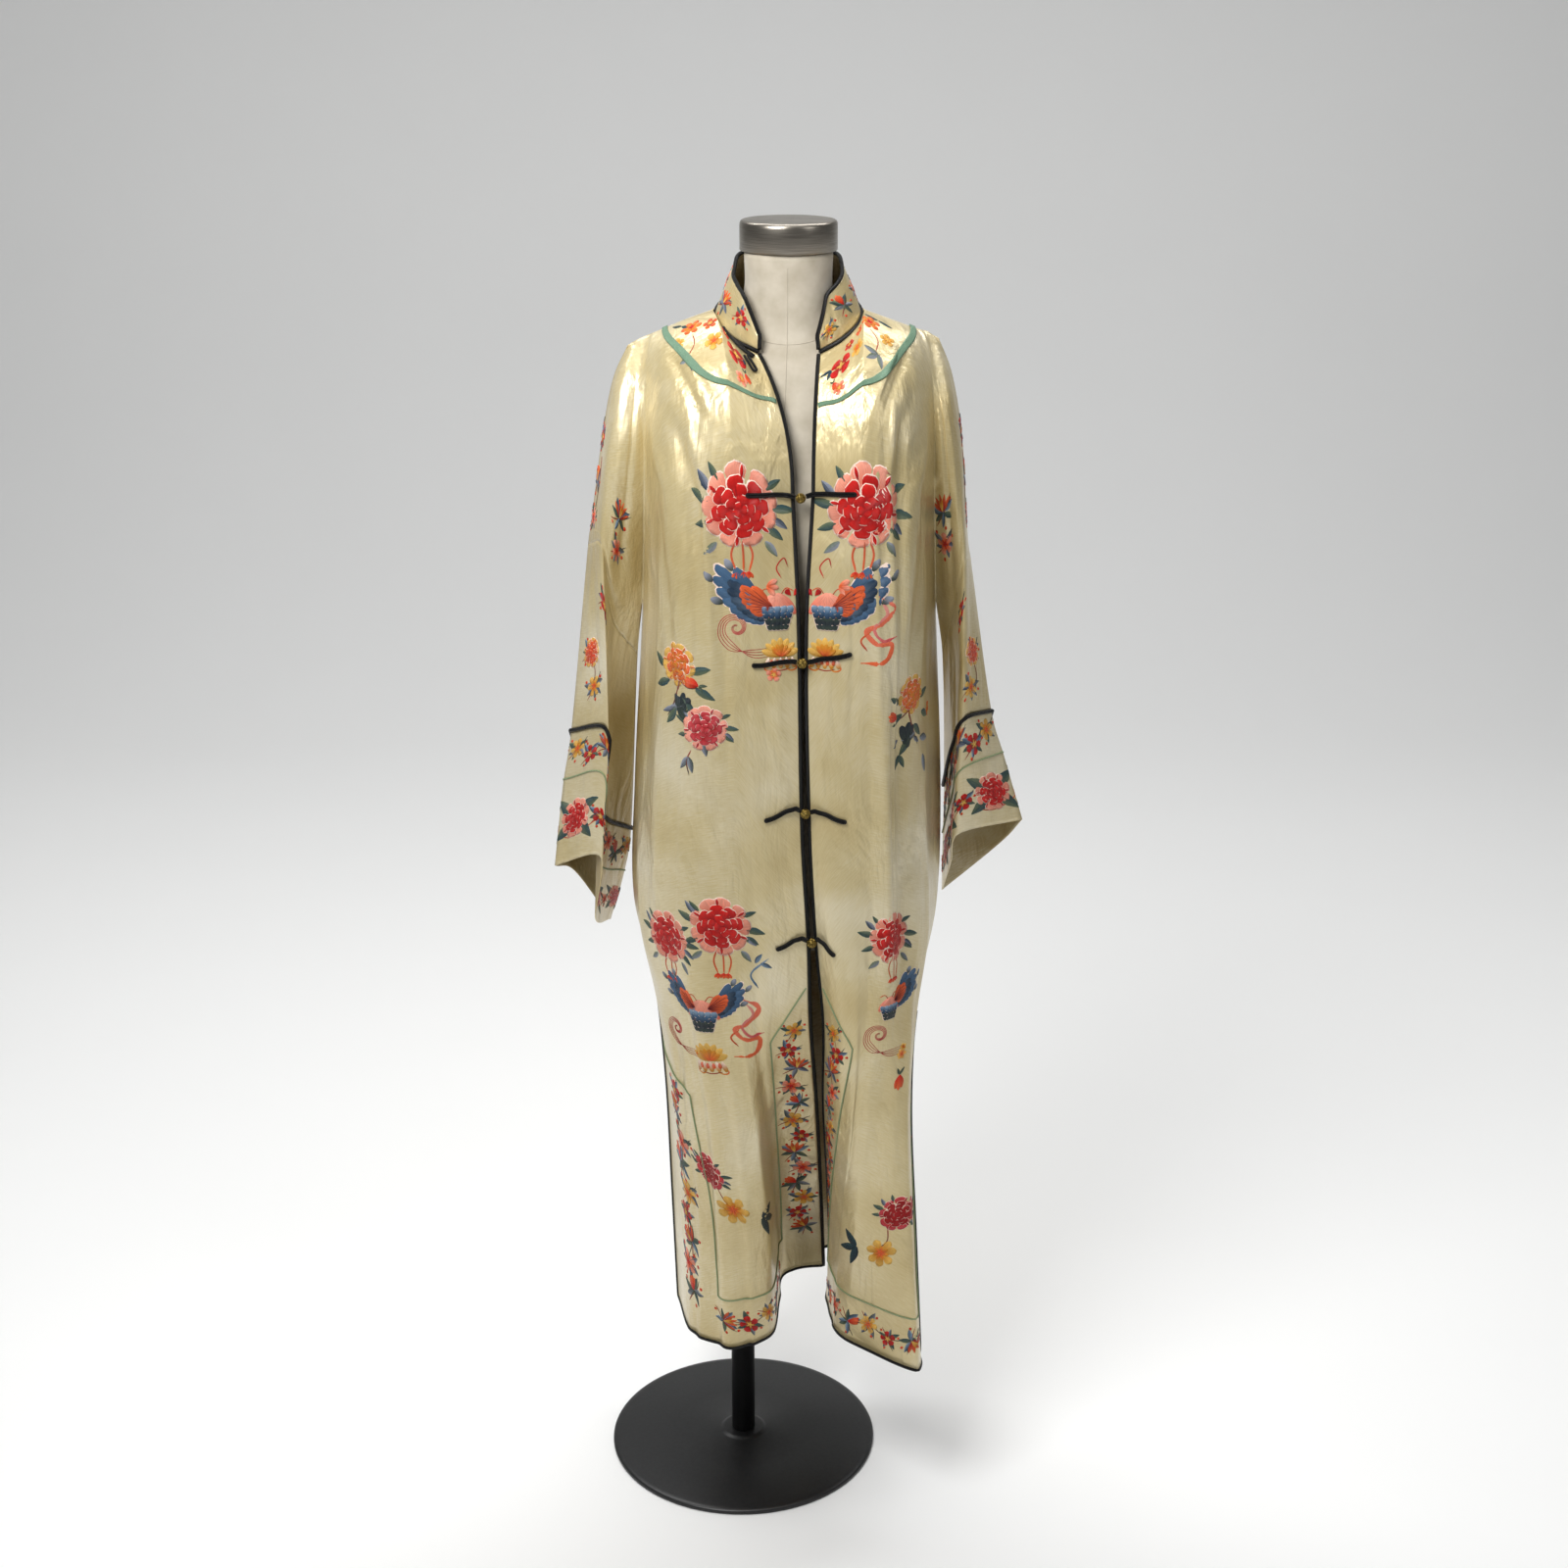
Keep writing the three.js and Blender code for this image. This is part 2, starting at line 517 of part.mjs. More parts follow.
function meshGeometry(points, faces) {
  const geometry = new THREE.BufferGeometry();
  geometry.setAttribute("position", new THREE.Float32BufferAttribute(points.flatMap((p) => p.toArray()), 3));
  geometry.setIndex(faces);
  geometry.computeVertexNormals();
  return geometry;
}

const robe = new THREE.Group();
const stand = new THREE.Group();
const add = (group, name, geometry, material) => {
  const mesh = new THREE.Mesh(geometry, material);
  mesh.name = name;
  group.add(mesh);
  return mesh;
};

for (const piece of ["front_left", "front_right", "back", "sleeve_left", "sleeve_right", "cuff_left", "cuff_right"])
  add(robe, piece, wallOf(body, piece), silk);

// ---- turned and lofted solids: rings from the top down, closed at both ends ----
function loftGeometry(rings) {
  const around = rings[0].length;
  const points = rings.flat();
  const middleOf = (ring) => ring.reduce((m, p) => m.add(p), new THREE.Vector3()).divideScalar(around);
  points.push(middleOf(rings[0]), middleOf(rings[rings.length - 1]));
  const faces = [];
  const [first, last] = [points.length - 2, points.length - 1];
  const base = (rings.length - 1) * around;
  for (let i = 0; i < around; i += 1) {
    const j = (i + 1) % around;
    for (let r = 0; r + 1 < rings.length; r += 1) {
      const [a, b, c, d] = [r * around + i, r * around + j, (r + 1) * around + j, (r + 1) * around + i];
      faces.push(a, c, b, a, d, c);
    }
    faces.push(first, i, j, last, base + j, base + i);
  }
  return meshGeometry(points, faces);
}

const turned = (profile, x, y, around) =>
  loftGeometry(
    profile.map(([radius, z]) =>
      count(0, around - 1).map((i) => {
        const angle = (2 * Math.PI * i) / around;
        return new THREE.Vector3(x + radius * Math.cos(angle), y + radius * Math.sin(angle), z);
      }),
    ),
  );

// ---- dress form: superellipse rings, each dipping from its sides to its front and back ----
function formGeometry(around) {
  const squareness = 2.25;
  return loftGeometry(
    formSections.map((s) =>
      count(0, around - 1).map((i) => {
        const angle = (2 * Math.PI * i) / around;
        const [across, deep] = [Math.cos(angle), Math.sin(angle)];
        const [depth, depthZ] = deep < 0 ? [-s.front, s.frontZ] : [s.back, s.backZ];
        const size = (Math.abs(across) ** squareness + Math.abs(deep) ** squareness) ** (-1 / squareness);
        const z = s.sideZ + (depthZ - s.sideZ) * Math.abs(deep) ** 1.6;
        return new THREE.Vector3(s.half * across * size, depth * deep * size, z);
      }),
    ),
  );
}

// ---- cords: a round section carried along a path, mitred at each bend ----
function cordGeometry(path, ups, radius, closed = false, sides = 5) {
  const n = path.length;
  const rings = path.map((p, i) => {
    const before = closed || i > 0 ? p.clone().sub(path[(i + n - 1) % n]).normalize() : null;
    const after = closed || i < n - 1 ? path[(i + 1) % n].clone().sub(p).normalize() : null;
    const along = new THREE.Vector3().add(before || after).add(after || before).normalize();
    const up = ups[i].clone().addScaledVector(along, -ups[i].dot(along)).normalize();
    const wide = along.clone().cross(up);
    const bend = before && after ? after.clone().sub(before) : new THREE.Vector3();
    const sharp = bend.length() / 2;
    const stretch = sharp > 0.02 ? 1 / Math.sqrt(Math.max(0.4, 1 - sharp * sharp)) - 1 : 0;
    bend.normalize();
    return count(0, sides - 1).map((k) => {
      const angle = (2 * Math.PI * k) / sides;
      const off = up.clone().multiplyScalar(-radius * Math.cos(angle)).addScaledVector(wide, radius * Math.sin(angle));
      return p.clone().add(off).addScaledVector(bend, off.dot(bend) * stretch);
    });
  });
  if (!closed) return loftGeometry(rings);
  const faces = rings.flatMap((ring, r) =>
    ring.flatMap((_, i) => {
      const [j, next] = [(i + 1) % sides, ((r + 1) % n) * sides];
      const [a, b, c, d] = [r * sides + i, r * sides + j, next + j, next + i];
      return [a, c, b, a, d, c];
    }),
  );
  return meshGeometry(rings.flat(), faces);
}

const facingOf = { left: 1, right: -1 };
const sheets = { left: frontSheet("left"), right: frontSheet("right"), back: backSheet };

// A point of the sewn cloth's mesh and its normal, at a grid corner.
function corner(sheet, across, row) {
  const id = clothPoint(body, sheet(across, downOf(row)));
  return { point: body.points[id], normal: body.normals[id] };
}

// ---- black piping round a panel's open edge ----
const pipeOffset = pipeRadius + touchGap - seamGap / 2;

// The centres of piping along an edge: out from it in the cloth's own plane, at half the wall's depth.
function edgeStops(corners, facing, further = 0, depth = clothWall / 2) {
  return corners.map(({ point, normal }, i) => {
    const outs = [[i - 1, i], [i, i + 1]]
      .filter(([a, b]) => a >= 0 && b < corners.length)
      .map(([a, b]) => corners[b].point.clone().sub(corners[a].point).cross(normal).multiplyScalar(facing).normalize());
    const centre = point.clone().addScaledVector(mitre(outs), pipeOffset + further).addScaledVector(normal, -depth);
    return { centre, normal };
  });
}

const between = (a, b, t) => ({
  centre: a.centre.clone().lerp(b.centre, t),
  normal: a.normal.clone().lerp(b.normal, t).normalize(),
});

function pipe(name, stops, closed = false, radius = pipeRadius) {
  add(robe, name, cordGeometry(stops.map((s) => s.centre), stops.map((s) => s.normal), radius, closed), blackSilk);
}

function panelEdge(sheet, acrosses, facing) {
  const [first, last] = [acrosses[0], acrosses[acrosses.length - 1]];
  return edgeStops([
    ...count(0, hemRow - 1).map((row) => corner(sheet, first, row)),
    ...acrosses.map((across) => corner(sheet, across, hemRow)),
    ...count(0, hemRow - 1).map((row) => corner(sheet, last, row)).reverse(),
  ], facing);
}

for (const side of ["left", "right"]) {
  const stops = panelEdge(sheets[side], frontAcross, -facingOf[side]);
  stops[0] = between(stops[0], stops[1], 0.03);
  const end = stops.length - 1 - slitRow;
  pipe("piping_front_" + side, [...stops.slice(0, end), between(stops[end], stops[end - 1], 0.75)]);
}

{
  const stops = panelEdge(backSheet, backAcross, -1);
  const [start, end] = [slitRow + 1, stops.length - 2 - slitRow];
  pipe("piping_back", [
    between(stops[start], stops[start + 1], 0.5),
    ...stops.slice(start + 1, end),
    between(stops[end], stops[end - 1], 0.5),
  ]);
}

// ---- neckline piping and the stand collar on it ----
const frontNeck = frontAcross.filter((a) => a < neckPart + 1e-6);
const backNeck = backAcross.filter((a) => a > backShoulderPart + 1e-6 && a < 1 - backShoulderPart - 1e-6);
const necklineStops = edgeStops([
  ...frontNeck.map((across) => corner(sheets.left, across, 0)),
  ...backNeck.map((across) => corner(backSheet, across, 0)),
  ...frontNeck.map((across) => corner(sheets.right, across, 0)).reverse(),
], 1, 2 * touchGap, 0);

const collarLeans = {
  left: [{ place: 0, lean: [0.08] }, { place: 30, lean: [0.17] }, { place: 60, lean: [0.36] }, { place: 92, lean: [0.42] }, { place: 190, lean: [0.12] }],
  right: [{ place: 0, lean: [0.22] }, { place: 30, lean: [0.4] }, { place: 60, lean: [0.42] }, { place: 92, lean: [0.42] }, { place: 190, lean: [0.12] }],
};

// A point of the collar: up from the neckline piping, leaning in towards the neck.
const collarFoot = pipeRadius + 2 * touchGap - seamGap / 2;
const collarColumns = necklineStops.length - 1;
const neckline = [0];
necklineStops.slice(1).forEach((stop, i) => neckline.push(neckline[i] + stop.centre.distanceTo(necklineStops[i].centre)));

function collarColumn({ centre }, i) {
  const place = Math.min(neckline[i], neckline[collarColumns] - neckline[i]);
  const rising = Math.sin((Math.PI / 2) * Math.min(1, place / collarCurve));
  const height = collarEnd + (collarHeight - collarEnd) * rising;
  const [lean] = readTable(collarLeans[i < collarColumns / 2 ? "left" : "right"], "place", place, "lean");
  const rise = new THREE.Vector3(-centre.x, -centre.y * 0.9, 0).normalize();
  rise.multiplyScalar(Math.sin(lean)).add(new THREE.Vector3(0, 0, Math.cos(lean)));
  return [1, 0.66, 0.33, 0].map((v) => centre.clone().addScaledVector(rise, collarFoot + height * v));
}

const collarCloth = newCloth();
const collarGrid = necklineStops.map(collarColumn);
addGrid(collarCloth, "collar", count(0, 3).map((r) => collarGrid.map((column) => column[r])), false);
setNormals(collarCloth);
add(robe, "collar", wallOf(collarCloth, "collar"), silk);
pipe("piping_neckline", necklineStops);

// The collar's piping runs up one front end, along the top and down the other end.
const collarCorner = (column, row) => {
  const point = collarGrid[column][row];
  return { point, normal: collarCloth.normals[clothPoint(collarCloth, point)] };
};
pipe("piping_collar", edgeStops([
  collarCorner(0, 3),
  ...count(0, collarColumns).map((column) => collarCorner(column, 0)),
  collarCorner(collarColumns, 3),
], 1));

// How much further out a cord must lie at a corner to keep its distance from each face there.
function liftAt(cloth, id) {
  const faces = cloth.quads.filter(({ corners }) => corners.includes(id)).map(({ corners }) => {
    const [a, b, c, d] = corners.map((i) => cloth.points[i]);
    return c.clone().sub(a).cross(d.clone().sub(b)).normalize();
  });
  return 1 / Math.max(0.26, Math.min(...faces.map((face) => face.dot(cloth.normals[id]))));
}

// ---- cuff piping: a ring lying on the seam between each sleeve and its cuff ----
for (const side of ["left", "right"]) {
  const front = spread(sleeveCurve(side, cuffRow, false), sleeveFront);
  const behind = spread(sleeveCurve(side, cuffRow, true), sleeveBack);
  const ring = [...front, ...behind.slice(1, -1).reverse()].map((p) => {
    const id = clothPoint(body, p);
    const normal = body.normals[id];
    return { centre: p.clone().addScaledVector(normal, (pipeRadius + 1.8 * touchGap) * liftAt(body, id)), normal };
  });
  pipe("piping_cuff_" + side, side === "left" ? ring : ring.reverse(), true);
}

// ---- yoke ribbon: a ring of flat ribbon laid round the neck on the panels' own facets ----
// A place on the flat cloth keeps its column's distance across at the top and adds its length down.
function downColumn(name, across, deep) {
  let left = Math.max(0, deep - Math.abs(corner(sheets[name], across, 0).point.y));
  for (let row = 0; ; row += 1) {
    const [a, b] = [corner(sheets[name], across, row), corner(sheets[name], across, row + 1)];
    const step = a.point.distanceTo(b.point);
    if (left <= step) return blend(a, b, left / step);
    left -= step;
  }
}

function blend(a, b, t) {
  return { point: a.point.clone().lerp(b.point, t), normal: a.normal.clone().lerp(b.normal, t).normalize() };
}

function flatPoint(name, x, deep) {
  const places = name === "back" ? backAcross : frontAcross;
  const tops = places.map((across) => corner(sheets[name], across, 0).point.x * (name === "left" ? -1 : 1));
  const i = Math.min(tops.length - 2, Math.max(0, tops.findIndex((top) => top > x) - 1));
  const t = (x - tops[i]) / (tops[i + 1] - tops[i]);
  return blend(downColumn(name, places[i], deep), downColumn(name, places[i + 1], deep), t);
}

// The ring's edges every few degrees, from the left front edge over the back to the right one.
const ribbonStart = 15.5;
function ribbonStops(name, from, to, number) {
  return count(0, number).map((i) => {
    const degrees = from + ((to - from) * i) / number;
    const angle = THREE.MathUtils.degToRad(degrees);
    const forward = (90 - degrees) / (90 - ribbonStart);
    const dip = name === "back" ? 0 : yokeDip * Math.sin(Math.PI * forward ** 2.4) ** 2;
    return [-0.5, 0.5].map((half) => {
      const radius = yokeRadius + half * ribbonWidth + dip;
      return flatPoint(name, radius * Math.sin(angle), radius * Math.abs(Math.cos(angle)));
    });
  });
}

const ribbon = [
  ...ribbonStops("left", ribbonStart, 90, 24),
  ...ribbonStops("back", -90, 90, 50).slice(1, -1),
  ...ribbonStops("right", 90, ribbonStart, 24),
].reverse();

// The facets round the yoke, and points along their creases.
const yokeFacets = body.quads
  .filter(({ corners }) => corners.every((i) => body.points[i].z > 1320))
  .flatMap(({ corners }) => splitQuad(body, corners).map((triangle) => triangle.map((i) => body.points[i])));
const creases = yokeFacets
  .flatMap(([a, b, c]) => [[a, b], [b, c], [c, a]])
  .flatMap(([a, b]) => count(0, 7).map((k) => a.clone().lerp(b, k / 8)));

function ontoFacets({ point, normal }) {
  const ray = new THREE.Ray(point.clone().addScaledVector(normal, 12), normal.clone().negate());
  const hits = yokeFacets.map(([a, b, c]) => ray.intersectTriangle(a, b, c, false, new THREE.Vector3())).filter(Boolean);
  const depth = (hit) => hit.distanceTo(ray.origin);
  const first = hits.sort((p, q) => depth(p) - depth(q))[0];
  return { point: first && depth(first) < 20 ? first : point, normal };
}

function standingOut({ point, normal }) {
  const near = creases.filter((q) => q.distanceTo(point) < ribbonReach);
  return Math.max(0, ...near.map((q) => q.clone().sub(point).dot(normal)));
}

function ribbonGeometry(stops) {
  const laid = stops.map((pair) => pair.map(ontoFacets));
  const widths = laid.map(([inner, outer]) => outer.point.clone().sub(inner.point).normalize());
  const rings = laid.map(([inner, outer], i) => {
    const twist = 1 - Math.min(...[widths[i - 1], widths[i + 1]].map((w) => (w ? w.dot(widths[i]) : 1)));
    const [low, high] = [inner, outer].map((stop) => standingOut(stop) + 2 * touchGap + 12 * twist);
    return [[inner, low], [outer, high], [outer, high + ribbonWall], [inner, low + ribbonWall]].map(
      ([{ point, normal }, lift]) => point.clone().addScaledVector(normal, lift),
    );
  });
  return loftGeometry(rings);
}

add(robe, "yoke_ribbon", ribbonGeometry(ribbon), greenRibbon);

// ---- frogs: ball and the inner and outer end of each bar, as across and height on the front ----
const frogs = [
  { ball: [13, 1279], left: [[-2, 1282], [-44, 1286]], right: [[26, 1283], [71, 1292]] },
  { ball: [15, 1096], left: [[4, 1098], [-38, 1094]], right: [[27, 1098], [67, 1107]] },
  { ball: [19, 920], left: [[8, 926], [-25, 912]], right: [[32, 924], [63, 913]] },
  { ball: [27, 760], left: [[15, 766], [-12, 753]], right: [[37, 766], [52, 750]] },
];

// Where a front's outer face is at a given place across, at a given height.
function onFront(side, x, z) {
  const sheet = sheets[side];
  const down = downOfZ(z);
  let [low, high] = [0, 0.7];
  for (let i = 0; i < 24; i += 1) {
    const middle = (low + high) / 2;
    if (signOf[side] * (sheet(middle, down).x - x) < 0) low = middle;
    else high = middle;
  }
  const [a, b] = [sheet(low, down), sheet(low + 0.02, down)];
  const normal = new THREE.Vector3(b.y - a.y, a.x - b.x, 0).multiplyScalar(a.x > b.x ? -1 : 1).normalize();
  return { point: a, normal };
}

const pipeTop = pipeRadius - clothWall / 2;
frogs.forEach((frog, i) => {
  const edges = ["left", "right"].map((side) => sheets[side](0, downOfZ(frog.ball[1])));
  const front = Math.min(edges[0].y, edges[1].y) - pipeTop - ballRadius + 0.8;
  const centre = new THREE.Vector3(frog.ball[0], front, frog.ball[1]);
  const ball = [16, 45, 72, 108, 135, 164].map((degrees) => {
    const angle = THREE.MathUtils.degToRad(degrees);
    return [ballRadius * Math.sin(angle), centre.z + ballRadius * Math.cos(angle)];
  });
  add(robe, "button_" + (i + 1), turned(ball, centre.x, centre.y, 8), brass);
  for (const side of ["left", "right"]) {
    const [near, far] = frog[side];
    const stops = [0, 0.3, 0.65, 1].map((t) => {
      const x = near[0] + (far[0] - near[0]) * t;
      const z = near[1] + (far[1] - near[1]) * t;
      const { point, normal } = onFront(side, x, z);
      return { centre: point.addScaledVector(normal, frogRadius + touchGap + (t < 0.2 ? pipeTop + touchGap : 0)), normal };
    });
    const inner = stops[0].centre.clone().sub(centre).setLength(ballRadius + touchGap).add(centre);
    pipe("frog_" + (i + 1) + "_" + side, [{ centre: inner, normal: new THREE.Vector3(0, -1, 0) }, ...stops], false, frogRadius);
  }
});

// ---- the unfastened frog under the collar: a bar along the neckline and its hanging loop ----
const neckFrog = {
  bar: [[0.05, 0.1], [0.13, 0.095], [0.2, 0.09], [0.28, 0.09]],
  loop: [[0.14, 0.2], [0.125, 0.245], [0.11, 0.29]],
};
const neckFrogRadius = { bar: 2.9, loop: 3.8 };
for (const piece of ["bar", "loop"]) {
  const radius = neckFrogRadius[piece];
  const stops = neckFrog[piece].map(([across, down]) => {
    const at = (a, d) => sheets.left(a, d);
    const normal = at(across + 0.02, down).sub(at(across - 0.02, down)).cross(at(across, down + 0.02).sub(at(across, down - 0.02)));
    normal.normalize();
    return { centre: at(across, down).addScaledVector(normal, radius + touchGap), normal };
  });
  pipe("frog_neck_" + piece, stops, false, radius);
}

// ---- the form and its stand ----
add(robe, "form_torso", formGeometry(28), linen);
add(robe, "form_cap", turned([[capRadius - 4, capTop], [capRadius - 1, capTop - 1.5], [capRadius, capTop - 5], [capRadius, capTop - capHeight]], 0, 0, 32), steel);
const torsoBase = formSections[formSections.length - 1].sideZ;
add(stand, "form_pole", turned([[poleRadius, torsoBase - touchGap], [poleRadius, footHeight + touchGap]], 0, 0, 20), blackSteel);
add(stand, "form_foot", turned([[24, footHeight], [30, footHeight - 3], [footRadius - 8, 7], [footRadius, 4], [footRadius, 0]], 0, 0, 40), blackSteel);

robe.position.x = formX;
robe.name = "robe";
stand.name = "stand";
const group = new THREE.Group();
group.add(robe, stand);
export default group;
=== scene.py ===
import math
import bpy
import numpy as np
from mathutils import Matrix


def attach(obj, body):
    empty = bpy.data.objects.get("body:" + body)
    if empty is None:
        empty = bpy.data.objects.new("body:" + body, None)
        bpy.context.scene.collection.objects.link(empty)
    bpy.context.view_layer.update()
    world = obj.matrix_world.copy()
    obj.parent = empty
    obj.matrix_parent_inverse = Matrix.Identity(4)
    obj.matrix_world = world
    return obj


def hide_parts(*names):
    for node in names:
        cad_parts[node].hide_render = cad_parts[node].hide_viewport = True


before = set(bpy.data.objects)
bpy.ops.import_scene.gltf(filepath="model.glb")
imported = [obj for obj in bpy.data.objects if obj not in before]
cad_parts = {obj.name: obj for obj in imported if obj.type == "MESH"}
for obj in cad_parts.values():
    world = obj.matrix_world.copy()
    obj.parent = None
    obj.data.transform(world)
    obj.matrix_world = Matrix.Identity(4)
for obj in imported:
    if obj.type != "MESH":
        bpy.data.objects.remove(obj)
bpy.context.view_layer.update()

print("frame loaded:", len(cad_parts), "CAD nodes")

# Lengths are in millimetres until a mesh is made, with x measured from the neck's axis.
formX = 58.0
mm = 0.001

# main sizes, those of the solids
chestZ, underarmZ, slitTopZ, hemZ = 1283.0, 1130.0, 640.0, 205.0
edgeRise = 26.0
pipeRadius = 2.3
neckPart, backShoulderPart = 0.4, 0.25
signOf = {"left": -1.0, "right": 1.0}
facingOf = {"left": 1, "right": -1}


# tables: sections of the body from chest to hem, and of the sleeves
def table(names, lines):
    # one line holds the key and then the coordinates of each named column
    size = (len(lines[0]) - 1) // len(names)
    data = np.array(lines, float)
    columns = {name: data[:, 1 + i * size:1 + (i + 1) * size] for i, name in enumerate(names)}
    return {"key": data[:, 0], **columns}


frontColumns = ["edge", "wall", "crest", "front", "outer", "side"]
frontRows = {
    "left": table(frontColumns, [
        (1283, 3, -124, -28, -133, -60, -138, -94, -134, -130, -111, -160, -55),
        (1130, 10, -132, -24, -138, -58, -141, -96, -136, -138, -112, -168, 2),
        (900, 14, -135, -22, -140, -60, -142, -108, -136, -154, -110, -183, 14),
        (756, 22, -131, -20, -138, -58, -142, -104, -138, -156, -104, -187, 16),
        (648, 25, -114, -23, -130, -54, -138, -98, -134, -142, -100, -164, 16),
        (520, 33, -72, -17, -86, -40, -126, -84, -126, -124, -98, -152, 14),
        (360, 40, -12, -9, -20, -27, -110, -76, -116, -114, -90, -146, 10),
        (205, 45, 38, -4, 36, -22, -84, -70, -110, -114, -88, -141, 8),
    ]),
    "right": table(frontColumns, [
        (1283, 28, -124, 54, -133, 78, -139, 104, -134, 134, -112, 162, -55),
        (1130, 21, -132, 52, -139, 84, -143, 112, -138, 138, -114, 170, 2),
        (900, 25, -135, 42, -145, 92, -147, 118, -140, 140, -112, 181, 6),
        (756, 33, -131, 52, -147, 94, -147, 122, -138, 152, -108, 178, -10),
        (648, 42, -112, 64, -140, 90, -143, 118, -138, 144, -114, 156, -40),
        (520, 43, -68, 61, -116, 84, -132, 114, -138, 140, -130, 149, -66),
        (360, 50, 0, 54, -60, 70, -104, 108, -136, 148, -148, 156, -92),
        (205, 55, 42, 51, -20, 62, -78, 104, -122, 158, -158, 164, -104),
    ]),
}
backColumns = ["left", "leftBlade", "centre", "rightBlade", "right"]
backRows = table(backColumns, [
    (1283, -158, 52, -100, 98, 0, 92, 100, 98, 158, 52),
    (1130, -168, 2, -116, 94, 0, 98, 116, 94, 170, 2),
    (900, -183, 14, -124, 118, 0, 116, 122, 116, 181, 6),
    (756, -187, 16, -126, 128, 0, 122, 126, 126, 178, -10),
    (640, -162.2, 16.6, -124, 130, 0, 124, 124, 128, 155.6, -41.6),
    (520, -151, 32, -122, 134, 0, 120, 124, 132, 150, -34),
    (205, -141, 34, -118, 140, 0, 118, 124, 138, 152, -58),
])
sleeveColumns = ["valley", "fold", "outer", "back"]
sleeveRows = {
    "left": table(sleeveColumns, [
        (0, 158, -3, 1434, 169, -1.5, 1429, 179, 0, 1423, 169, -1.5, 1429),
        (3, 168, -42, 1380, 185, -40, 1384, 196, 0, 1386, 184, 44, 1384),
        (6, 174, -62, 1293, 197, -60, 1304, 209, 0, 1326, 194, 62, 1300),
        (9, 190, -24, 1146, 208, -58, 1226, 225, 0, 1222, 208, 64, 1190),
        (11, 200, -12, 1106, 210, -56, 1210, 229, 0, 1197, 216, 66, 1140),
        (17, 222, -2, 872, 210, -46, 990, 255, 0, 973, 244, 76, 890),
        (20, 228, 2, 800, 216, -41, 926, 267, 0, 904, 256, 74, 826),
        (23, 233, 8, 730, 223, -36, 828, 280, 0, 802, 264, 62, 772),
    ]),
    "right": table(sleeveColumns, [
        (0, 154, -3, 1439, 160, -1.5, 1435, 167, 0, 1431, 160, -1.5, 1435),
        (3, 164, -42, 1384, 174, -36, 1388, 183, 0, 1390, 174, 42, 1386),
        (6, 174, -60, 1292, 188, -50, 1306, 196, 0, 1318, 186, 58, 1300),
        (9, 184, -22, 1148, 197, -52, 1214, 205, 0, 1206, 198, 62, 1180),
        (11, 188, -14, 1112, 199, -50, 1188, 209, 0, 1180, 204, 66, 1130),
        (17, 193, -6, 952, 203, -43, 1001, 238, 0, 997, 230, 74, 930),
        (20, 194, 0, 882, 201, -38, 930, 255, 0, 940, 244, 76, 868),
        (23, 195, 6, 806, 199, -32, 853, 279, 0, 861, 262, 66, 808),
    ]),
}
underarms = {
    "left": [(11, 176, 14, 1062), (17, 192, 68, 824), (20, 204, 86, 756), (23, 223, 106, 688)],
    "right": [(11, 180, 14, 1062), (17, 189, 62, 882), (20, 190, 78, 808), (23, 191, 88, 735)],
}

